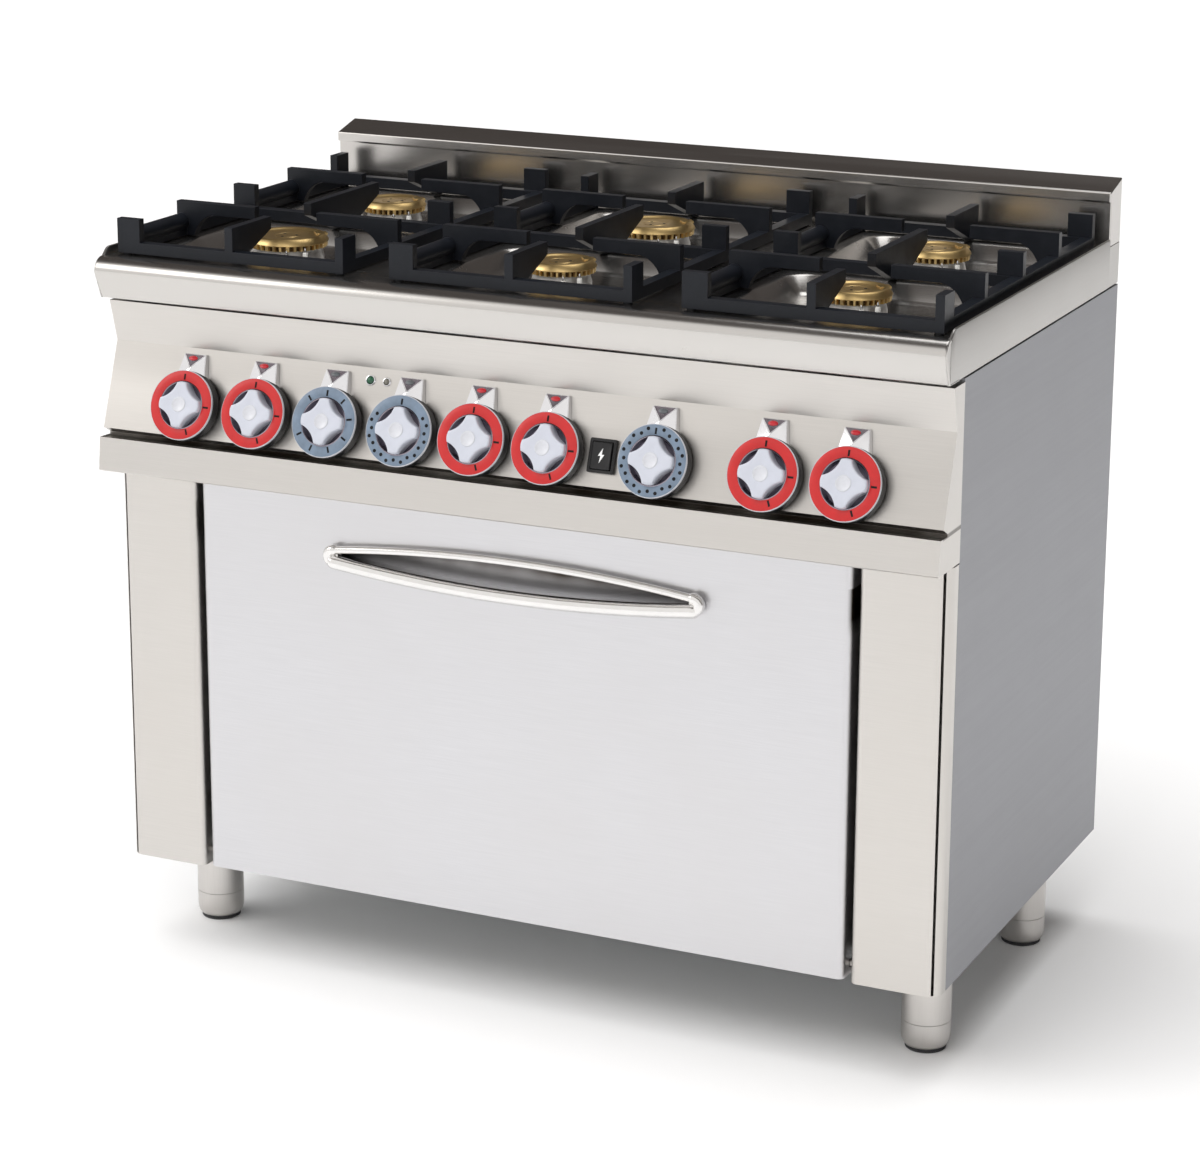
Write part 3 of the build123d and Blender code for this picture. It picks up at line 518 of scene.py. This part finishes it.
def build_top_sheet(bm):
    """The flat top with its six wells, one sheet thick."""
    rims = [well_rings(bm, x, y) for x in grate_x for y in burner_y]
    side = half_width - 2 * sheet
    top_front = front_y + nose_radius
    corners = [(-side, top_front), (side, top_front), (side, back_y - 1), (-side, back_y - 1)]
    border = [bm.verts.new((x, y, worktop_z)) for x, y in corners]
    edges = [bm.edges.new((border[i], border[(i + 1) % 4])) for i in range(4)]
    for rim in rims:
        for i, vertex in enumerate(rim):
            edges.append(bm.edges.get((vertex, rim[(i + 1) % len(rim)])))
    bmesh.ops.triangle_fill(bm, use_beauty=True, edges=edges)
    bmesh.ops.recalc_face_normals(bm, faces=bm.faces)
    if sum(face.normal.z for face in bm.faces) < 0:
        bmesh.ops.reverse_faces(bm, faces=bm.faces)
    bmesh.ops.solidify(bm, geom=bm.faces[:], thickness=sheet)


def nose_arc():
    """(y, z) points of the rolled nose, from the flat top down to its foremost line."""
    points = []
    for step in range(nose_steps + 1):
        angle = math.pi / 2 * step / nose_steps
        y = front_y + nose_radius - nose_radius * math.sin(angle)
        points.append((y, worktop_z - nose_radius * (1 - math.cos(angle))))
    return points


def build_nose(bm):
    """The rolled nose with its leaning apron, folded back along the bottom, softened at both ends."""
    fold_y = front_y + apron_lean
    fold_end = (fold_y + apron_return, apron_bottom)
    outer = nose_arc()
    outer += [(fold_y, apron_bottom + 1.5), (fold_y + 1, apron_bottom + 0.3)]
    outer += [(fold_y + 3, apron_bottom), fold_end]
    inner = [(y + sheet, z - sheet) for y, z in outer[:10]]
    inner += [(fold_y + 2 * sheet, apron_bottom + sheet), (fold_end[0], apron_bottom + sheet)]
    loop = outer + list(reversed(inner))
    stations = [(-half_width, 1.2), (-half_width + 0.8, 0.3), (-half_width + 2.2, 0.0)]
    stations += [(-x, inset) for x, inset in reversed(stations)]
    rings = []
    for x, inset in stations:
        rings.append([bm.verts.new((x, y + inset, z - inset * 0.6)) for y, z in loop])
    bridge_rings(bm, rings)
    bm.faces.new(rings[0])
    bm.faces.new(list(reversed(rings[-1])))


def side_lip(bm, way):
    """The raised lip along one side and the skirt below it. It rises behind the nose."""
    lip_rise = side_lip_z - worktop_z
    run_up, rise_steps = 14, 8
    stations = []
    for step in range(rise_steps + 1):
        share = step / rise_steps
        stations.append((front_y + nose_radius + run_up * share, lip_rise * math.sin(share * math.pi / 2)))
    stations.append((splash_front + 1, lip_rise))
    sections = []
    for y, rise in stations:
        top = worktop_z + rise
        crown = ((0, apron_bottom), (0, top - 1.6), (0.5, top - 0.5), (1.6, top))
        fall = ((2.6, top - 0.3), (3.2, top - 1.2))
        back = ((4.2, worktop_z + 0.02), (4.2, worktop_z - 1), (1.5, worktop_z - 2.5), (1.5, apron_bottom))
        sections.append([bm.verts.new((way * (half_width - dx), y, z)) for dx, z in crown + fall + back])
    bridge_rings(bm, sections)
    bm.faces.new(sections[0])
    bm.faces.new(list(reversed(sections[-1])))


def side_plates(bm, way):
    """The corner plate between the apron and the side skirt, and the skirt beside the splashback."""
    join_y = front_y + nose_radius + 1
    corner = [(y + 0.4, z - 0.3) for y, z in nose_arc()]
    corner.append((front_y + apron_lean + 0.4, apron_bottom))
    corner += [(join_y, apron_bottom), (join_y, worktop_z - 0.3)]
    behind = [(splash_front, apron_bottom), (splash_front, worktop_z)]
    behind += [(back_y, worktop_z), (back_y, apron_bottom)]
    for outline in (corner, behind):
        slab(bm, outline, way * (half_width - 0.35), way * (half_width - 1.7))


def back_skirt(bm):
    """The skirt along the back, below the splashback."""
    inner_y = back_y - sheet
    outline = ((inner_y, apron_bottom), (back_y, apron_bottom), (back_y, worktop_z), (inner_y, worktop_z))
    slab(bm, outline, -half_width + 1, half_width - 1)


bm = bmesh.new()
build_top_sheet(bm)
build_nose(bm)
dress(finish_piece(bm, "hob_sheet", smooth_angle=40), "range_body", "stainless_satin", hob_steel, "worktop")

bm = bmesh.new()
for way in (-1, 1):
    side_lip(bm, way)
    side_plates(bm, way)
back_skirt(bm)
dress(finish_piece(bm, "hob_skirts", smooth_angle=40), "range_body", "stainless_satin", skirt_steel)

# ================================================================ burners

burners = [
    (x, y, large_cap if (column, row) in ((0, 0), (1, 1)) else small_cap)
    for column, x in enumerate(grate_x)
    for row, y in enumerate(burner_y)
]
cap_rise = cap_top_z - cap_base_z


def toothed(angle, radius, height):
    """The cap's radius, cut back between the teeth of its flame ring."""
    slot = (angle * cap_teeth / (2 * math.pi)) % 1.0
    between_teeth = height < 5.9 and slot > 0.52 and radius > 30
    return radius - tooth_depth if between_teeth else radius


def cap_crown(bm, radius):
    """A brass cap: toothed flame ring, bevelled crown, raised rim, shallow dish with a turned ring."""
    stem = [(0, -6), (23, -6), (23.6, 0)]
    flame_ring = [(radius - 3, 0), (radius - 1.4, 0.5), (radius - 1.0, 5.4), (radius - 1.2, 5.8)]
    bead = [(radius - 0.6, 6.0), (radius, 6.6), (radius - 0.2, 7.8)]
    bevel = [(radius - 3.6, cap_rise - 1.4), (radius - 5.0, cap_rise - 0.3)]
    rim = [(radius - 6.4, cap_rise), (radius - 8.4, cap_rise - 0.1), (radius - 10.0, cap_rise - 0.9)]
    dish = [(radius - 11.6, cap_rise - 2.0), (radius - 14.0, cap_rise - 2.4), (15.5, cap_rise - 2.4)]
    turned_ring = [(14.8, cap_rise - 2.8), (13.6, cap_rise - 2.8), (12.9, cap_rise - 2.3)]
    middle = [(3.0, cap_rise - 2.2), (0, cap_rise - 2.2)]
    lathe(bm, stem + flame_ring + bead + bevel + rim + dish + turned_ring + middle, cap_steps, shape=toothed)


def cap_holes(bm):
    """Three black discs in the dish: painted shade standing for three small holes."""
    for turn in (20, 140, 260):
        rim = cap_rise - 2.1
        hole = [(0, rim - 0.04), (1.5, rim - 0.04), (1.7, rim), (1.5, rim - 0.2), (0, rim - 0.2)]
        lathe(bm, hole, 16, centre=polar(turn, 10.0))


def cap_throat(bm, radius):
    """The dark ring seen between the teeth: painted shade."""
    section = ((5.6, 0.4), (4.6, 0.4), (4.6, 5.7), (5.6, 5.7))
    lathe(bm, [(radius - inset, z) for inset, z in section], 96, closed=True)


def cap_tab(bm, radius):
    """The flat tab cast on the rim."""
    outline = [(radius - 15, -7), (radius - 1.5, -5.5), (radius - 1.5, 5.5), (radius - 15, 7)]
    prism(bm, outline, cap_rise - 3.0, cap_rise - 0.35, 0.6)


for number, (x, y, radius) in enumerate(burners, start=1):
    label = f"burner_cap_{number}"
    place = Matrix.Translation((x, y, cap_base_z))
    bm = bmesh.new()
    cap_crown(bm, radius)
    dress(finish_piece(bm, f"brass_cap_{number}", place, 28), label, "brass", cap_brass, label)
    bm = bmesh.new()
    cap_holes(bm)
    dress(finish_piece(bm, f"cap_holes_{number}", place), label, "brass", print_black)
    bm = bmesh.new()
    cap_throat(bm, radius)
    dress(finish_piece(bm, f"cap_throat_{number}", place), label, "brass", cap_shade)
    bm = bmesh.new()
    cap_tab(bm, radius)
    tab_place = place @ Matrix.Rotation(math.radians(38), 4, "Z")
    dress(finish_piece(bm, f"cap_tab_{number}", tab_place), label, "brass", cap_brass)

# the cast cups that the caps sit on
bm = bmesh.new()
for x, y, radius in burners:
    seat = radius - 6
    foot = [(0, 0), (30, 0), (31, 2), (31, 15)]
    wall = [(seat - 1, 15.5), (seat + 0.4, 16.5), (seat + 0.8, 18), (seat + 0.6, 24), (seat - 0.6, 29.5)]
    mouth = [(seat - 1.6, 32.5), (seat - 1.4, 34.2), (seat - 2.2, 35), (24.6, 35), (24.4, 27), (0, 27)]
    lathe(bm, [(r, cup_base_z + z) for r, z in foot + wall + mouth], 96, centre=(x, y))
dress(finish_piece(bm, "burner_cups"), "range_body", "aluminium_cast", burner_alloy, "burner_bodies")

# a spark electrode and a flame sensor beside each cup
sleeve_base = worktop_z - well_depth - 0.5
bm = bmesh.new()
tips = bmesh.new()
for x, y, radius in burners:
    for turn, gap, top in ((-62, 5.5, cap_base_z + 2), (-38, 5.0, cap_base_z + 4)):
        dx, dy = polar(turn, radius + gap)
        spot = (x + dx, y + dy)
        collar = [(0, sleeve_base), (4.2, sleeve_base), (4.2, sleeve_base + 3.5), (3.0, sleeve_base + 4.5)]
        lathe(bm, collar + [(3.0, top - 5), (2.4, top - 4), (0, top - 4)], 20, centre=spot)
        tip = [(0, top - 4.5), (1.2, top - 4.5), (1.2, top), (0.5, top + 1.2), (0, top + 1.4)]
        lathe(tips, tip, 12, centre=spot)
dress(finish_piece(bm, "electrode_sleeves"), "range_body", "aluminium_cast", ceramic)
dress(finish_piece(tips, "electrode_tips"), "range_body", "aluminium_cast", bright_wire)

# ================================================================ knobs


def star_outline(scale=1.0, reach=25.0, waist=18.4, tip=6.0, per_side=14, per_tip=7):
    """The four-pointed grip from the front: hollow sides between round tips up, right, down and left."""
    points = []
    middle = waist / math.sqrt(2)
    for quarter in range(4):
        a, b, c = Vector((reach, tip)), Vector((middle, middle)), Vector((tip, reach))
        bend = b * 2 - (a + c) / 2
        side = []
        for step in range(per_side):
            t = step / per_side
            side.append(a * (1 - t) ** 2 + bend * 2 * t * (1 - t) + c * t**2)
        corner = Vector((-tip, reach))
        peak = Vector((0, reach + 2.2))
        for step in range(per_tip):
            t = step / per_tip
            side.append(c * (1 - t) ** 2 + peak * 2 * t * (1 - t) + corner * t**2)
        turn = Matrix.Rotation(math.pi / 2 * quarter, 2)
        points += [turn @ (spot * scale) for spot in side]
    return points


def bar_mark(bm, turn, inner, outer, width, base):
    """A printed bar on a dial, turn degrees clockwise from the top."""
    angle = math.radians(90 - turn)
    along = Vector((math.cos(angle), math.sin(angle)))
    across = Vector((-along.y, along.x)) * width / 2
    start, end = along * inner, along * outer
    outline = [start - across, end - across, end + across, start + across]
    prism(bm, outline, base, base + 0.25, 0.05)


def dot_mark(bm, turn, reach, radius, base):
    """A printed dot on a dial, turn degrees clockwise from the top."""
    profile = [(0, base), (radius, base), (radius, base + 0.2), (0, base + 0.25)]
    lathe(bm, profile, 16, centre=polar(90 - turn, reach))


dial_marks = {
    "gas": {"bars": [0, 90, 158], "dots": []},
    "selector_knob": {"bars": [0, 40, 80, 120, 160, 200, 240, 320], "dots": []},
    "thermostat_knob": {"bars": [0], "dots": [60 + 15 * step for step in range(17)]},
    "timer_knob": {"bars": [0], "dots": [15 * step for step in range(1, 24)]},
}


def build_knob(label, x, ring_material, marks, slot):
    """Black skirt, in part painted shadow; pale barrel; polished bowl painted dark as shade and reflection;
    coloured ring; pearl star grip with a disc; printed marks.
    """
    place = panel_frame(x)
    top = ring_top

    def part(name, bm, material, angle=35.0, part_slot=slot, nodes=()):
        dress(finish_piece(bm, f"{label}_{name}", place, angle), label, part_slot, material, *nodes)

    # The black skirt is in part painted shadow round the knob's foot.
    bm = bmesh.new()
    skirt = [
        (33, knob_base), (38.6, knob_base), (39.4, knob_base + 0.8), (39.4, top - 4.2), (38.8, top - 3.6),
        (33, top - 3.6),
    ]
    lathe(bm, skirt, 96, closed=True)
    part("skirt", bm, black_plastic, part_slot="black_plastic")
    bm = bmesh.new()
    barrel = [
        (30, top - 3.6), (38.6, top - 3.6), (39.3, top - 3.0), (39.4, top - 1.6), (39.2, top - 0.6),
        (38.7, top - 0.1), (38.2, top - 0.4), (30, top - 0.5),
    ]
    lathe(bm, barrel, 96, closed=True)
    part("barrel", bm, knob_side, 25)
    bm = bmesh.new()
    bowl = [
        (28, top - 9.2), (28, top - 0.5), (26.8, top + 0.2), (26.3, top + 0.45), (25.8, top + 0.1),
        (25.2, top - 2.2), (24.6, top - 4.6), (23.6, top - 6.6), (22.0, top - 7.8), (20.0, top - 8.3),
        (0, top - 8.5), (0, top - 9.2),
    ]
    lathe(bm, bowl, 96)
    part("bowl", bm, chrome_painted_dark, 25, "pointer_chrome")
    bm = bmesh.new()
    ring = [
        (27.0, top - 0.3), (27.2, top + 0.1), (27.8, top + 0.35), (37.8, top + 0.2), (38.4, top - 0.1),
        (38.5, top - 0.6), (27.0, top - 0.8),
    ]
    lathe(bm, ring, 96, closed=True)
    part("ring", bm, ring_material, nodes=(label,))
    bm = bmesh.new()
    levels = [
        (1.0, top - 8.8), (1.0, top - 3), (0.99, knob_height - 2.2), (0.975, knob_height - 1.1),
        (0.945, knob_height - 0.4), (0.90, knob_height - 0.1), (0.80, knob_height - 0.05),
        (0.55, knob_height - 0.5), (0.36, knob_height - 0.8),
    ]
    rings = []
    for scale, height in levels:
        rings.append([bm.verts.new((spot.x, spot.y, height)) for spot in star_outline(scale)])
    rings.append([bm.verts.new((0, 0, knob_height - 0.85))])
    bridge_rings(bm, rings)
    bm.faces.new(list(reversed(rings[0])))
    part("star", bm, knob_pearl, 50)
    bm = bmesh.new()
    disc = [
        (0, -1.8), (8.4, -1.8), (8.8, -0.9), (8.5, -0.3), (7.6, -0.15), (6.8, -0.3), (6.3, -0.6), (0, -0.5),
    ]
    lathe(bm, [(r, knob_height + z) for r, z in disc], 64)
    part("medallion", bm, knob_side, 40)
    bm = bmesh.new()
    for turn in marks["bars"]:
        bar_mark(bm, turn, 28.4, 35.0, 2.2, top + 0.2)
    for turn in marks["dots"]:
        dot_mark(bm, turn, 34.6 if turn % 2 else 32.0, 2.0, top + 0.15)
    part("marks", bm, print_black)


for number, x in enumerate(gas_knob_x, start=1):
    build_knob(f"gas_knob_{number}", x, knob_red, dial_marks["gas"], "knob_red")
for label, x in oven_knob_x.items():
    build_knob(label, x, knob_grey, dial_marks[label], "knob_grey")

def pointer_block():
    """A faceted chrome block above a knob, peaked towards it."""
    piece = bmesh.new()
    foot = [(-18.8, 31, 0), (18.8, 31, 0), (14.5, 60, 0), (-14.5, 60, 0)]
    crown = [(-17.6, 33, 8.5), (17.6, 33, 8.5), (-13.6, 59.2, 5.0), (13.6, 59.2, 5.0)]
    peak = [(0, 43, 13.0), (-4.5, 34, 12.6), (4.5, 34, 12.6)]
    for spot in foot + crown + peak:
        piece.verts.new(spot)
    bmesh.ops.convex_hull(piece, input=piece.verts)
    bmesh.ops.bevel(piece, geom=piece.edges[:], offset=0.5, segments=2, affect="EDGES", clamp_overlap=True)
    return piece


def pointer_gem():
    """A low oval cabochon, lying on the pointer's upper face."""
    drop = bmesh.new()
    lathe(drop, [(0, 11.0), (5.0, 11.0), (4.9, 12.0), (3.6, 12.8), (0, 13.2)], 32)
    tilt = Matrix.Rotation(-math.atan2(8.0, 16.2), 4, "X")
    oval = Matrix.Diagonal((1.1, 0.62, 1, 1)) @ Matrix.Translation((0, 0, -11.5))
    drop.transform(Matrix.Translation((0, 54.2, 8.0)) @ tilt @ oval)
    return drop


def painted_dark_facet(bm, place):
    """A dark triangle on the pointer's upper face, under the gem: painted reflection, standing for the dark
    image in the chrome facet.
    """
    proud = Vector((0, 0.2, 0.4))
    low, high = [], []
    for spot in ((-12.4, 58.4, 5.35), (12.4, 58.4, 5.35), (0, 44.4, 12.35)):
        low.append(bm.verts.new(place @ Vector(spot)))
        high.append(bm.verts.new(place @ (Vector(spot) + proud)))
    bridge_rings(bm, [low, high])
    bm.faces.new(high)
    bm.faces.new(list(reversed(low)))


def pour(piece, place, into):
    """Add one bmesh, carried to its place, to another."""
    piece.transform(place)
    made = bpy.data.meshes.new("part")
    piece.to_mesh(made)
    piece.free()
    into.from_mesh(made)
    bpy.data.meshes.remove(made)


blocks = bmesh.new()
faces = bmesh.new()
gems = {gem_red: bmesh.new(), gem_grey: bmesh.new()}
for x in gas_knob_x + list(oven_knob_x.values()):
    place = panel_frame(x)
    pour(pointer_block(), place, blocks)
    painted_dark_facet(faces, place)
    pour(pointer_gem(), place, gems[gem_red if x in gas_knob_x else gem_grey])
chrome_blocks = finish_piece(blocks, "pointer_blocks", smooth_angle=20)
dress(chrome_blocks, "range_body", "pointer_chrome", chrome, "knob_pointers")
dress(finish_piece(faces, "painted_dark_facets"), "range_body", "pointer_chrome", chrome_painted_dark)
dress(finish_piece(gems[gem_red], "gas_pointer_gems"), "range_body", "knob_red", gem_red)
dress(finish_piece(gems[gem_grey], "oven_pointer_gems"), "range_body", "knob_grey", gem_grey)

# ================================================================ igniter and lamps

place = panel_frame(igniter_x)
bm = bmesh.new()
rings = []
for inset, height in ((0, -10), (0, 5.6), (0.3, 6.4), (1.0, 6.9), (3.0, 6.6), (8.0, 6.2)):
    outline = rounded_rectangle(23.4 - 2 * inset, 29.4 - 2 * inset, 1.8, 5)
    rings.append([bm.verts.new((px, py, height)) for px, py in outline])
bridge_rings(bm, rings)
bm.faces.new(list(reversed(rings[0])))
bm.faces.new(rings[-1])
key = finish_piece(bm, "igniter_key", place)
dress(key, "igniter_button", "black_plastic", black_plastic, "igniter_button")
bm = bmesh.new()
bolt = [(1.2, 8.0), (-3.6, -0.4), (-0.6, -0.2), (-1.6, -8.0), (3.6, 1.2), (0.6, 1.0)]
ring_low = [bm.verts.new((px, py, 6.1)) for px, py in bolt]
ring_high = [bm.verts.new((px, py, 6.75)) for px, py in bolt]
bridge_rings(bm, [ring_low, ring_high])
bm.faces.new(ring_high)
bm.faces.new(list(reversed(ring_low)))
dress(finish_piece(bm, "igniter_bolt", place), "igniter_button", "black_plastic", print_white)

lamps = (("run_lamp", -172.0, 6.0, lamp_green), ("heat_lamp", -152.0, 5.0, lamp_clear))
for name, x, radius, glass in lamps:
    place = panel_frame(x, lamp_rise)
    bm = bmesh.new()
    lens = [(radius - 1.7, -6), (radius - 1.7, 0.9), (radius - 2.4, 2.0), (radius - 3.6, 2.7)]
    lathe(bm, [(0, -6), *lens, (0, 3.0)], 40)
    nodes = ("pilot_lamps",) if name == "run_lamp" else ()
    dress(finish_piece(bm, name, place), "range_body", "lamp_lens", glass, *nodes)
    bm = bmesh.new()
    bezel = [(1.6, 0), (0, 0), (0, 0.8), (0.5, 1.5), (1.2, 1.6), (1.6, 1.2)]
    lathe(bm, [(radius - inset, z) for inset, z in bezel], 48, closed=True)
    dress(finish_piece(bm, f"{name}_bezel", place), "range_body", "pointer_chrome", chrome)

# ================================================================ feet

for number in range(1, 5):
    label = f"adjustable_foot_{number}"
    low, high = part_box(label)
    x, y = (low.x + high.x) / 2 / MM, (low.y + high.y) / 2 / MM
    place = Matrix.Translation((x, y, 0))
    bm = bmesh.new()
    shell = [
        (0, 4.0), (21.6, 4.0), (23.4, 4.6), (25.4, 7.2), (26.8, 11.0), (27.4, 16.0), (27.5, 22.0),
        (27.5, 33.6), (27.2, 33.9), (12, 33.9), (12, 84), (0, 84),
    ]
    lathe(bm, shell, 72)
    dress(finish_piece(bm, f"foot_shell_{number}", place), label, "stainless_satin", leg_steel, label)
    bm = bmesh.new()
    lathe(bm, [(0, 0), (22.0, 0), (22.9, 0.8), (23.0, 4.4), (22.4, 5.0), (0, 5.0)], 64)
    dress(finish_piece(bm, f"foot_pad_{number}", place), label, "seal_rubber", foot_rubber)

# ================================================================ studio

floor_mesh = bpy.data.meshes.new("floor")
floor_size = 30.0
corners = [(sx * floor_size, sy * floor_size, 0) for sx, sy in ((-1, -1), (1, -1), (1, 1), (-1, 1))]
floor_mesh.from_pydata(corners, [], [(0, 1, 2, 3)])
floor = bpy.data.objects.new("floor", floor_mesh)
bpy.context.scene.collection.objects.link(floor)
floor_look = Shader("floor_look", Base_Color=(0.93, 0.93, 0.93, 1), Roughness=0.8)
floor_mesh.materials.append(floor_look.material)


def soft_box(name, spot, target, size, power, tint=(1.0, 1.0, 1.0)):
    """A rectangular studio light aimed at a point. Metres and watts."""
    light = bpy.data.lights.new(name, "AREA")
    light.shape = "RECTANGLE"
    light.size, light.size_y = size
    light.energy = power
    light.color = tint
    lamp = bpy.data.objects.new(name, light)
    lamp.location = spot
    lamp.rotation_euler = (Vector(target) - Vector(spot)).to_track_quat("-Z", "Y").to_euler()
    bpy.context.scene.collection.objects.link(lamp)


soft_box("overhead", (0.6, 0.6, 3.4), (0, 0, 0.8), (1.8, 1.4), 16)
soft_box("front_left", (-3.4, -2.6, 2.9), (0, 0, 0.6), (1.6, 1.6), 22, (1.0, 0.98, 0.96))

sun_data = bpy.data.lights.new("ceiling", "SUN")
sun_data.energy = 3.0
sun_data.angle = math.radians(75)
sun = bpy.data.objects.new("ceiling", sun_data)
sun.rotation_euler = (math.radians(12), math.radians(-14), 0)
sun.visible_glossy = False
bpy.context.scene.collection.objects.link(sun)

world = bpy.data.worlds.new("studio")
bpy.context.scene.world = world
world.use_nodes = True
sky = world.node_tree
background = sky.nodes["Background"]
direction = sky.nodes.new("ShaderNodeTexCoord").outputs["Generated"]
toward = sky.nodes.new("ShaderNodeVectorMath")
toward.operation = "DOT_PRODUCT"
sky.links.new(direction, toward.inputs[0])
toward.inputs[1].default_value = Vector((0.25, 0.72, 0.65)).normalized()
ramp = sky.nodes.new("ShaderNodeValToRGB")
sky.links.new(toward.outputs["Value"], ramp.inputs["Fac"])
ramp.color_ramp.elements[0].position = 0.0
ramp.color_ramp.elements[0].color = (1.0, 0.98, 0.96, 1)
ramp.color_ramp.elements[1].position = 0.22
ramp.color_ramp.elements[1].color = (0.085, 0.075, 0.07, 1)
sky.links.new(ramp.outputs["Color"], background.inputs["Color"])
background.inputs["Strength"].default_value = 1.0

# ================================================================ camera

camera_data = bpy.data.cameras.new("camera")
camera_data.lens = 101.415
camera_data.shift_x = -0.017917
camera_data.shift_y = -0.083333
camera_data.clip_end = 60
camera = bpy.data.objects.new("camera", camera_data)
yaw, pitch, roll = math.radians(24.513), math.radians(14.799), math.radians(0.337)
camera.matrix_world = (
    Matrix.Translation((1.5679, front_y * MM - 3.117, 1.5444))
    @ Matrix.Rotation(yaw, 4, "Z")
    @ Matrix.Rotation(math.pi / 2 - pitch, 4, "X")
    @ Matrix.Rotation(roll, 4, "Z")
)
bpy.context.scene.collection.objects.link(camera)
bpy.context.scene.camera = camera
bpy.context.scene.view_settings.view_transform = "Standard"
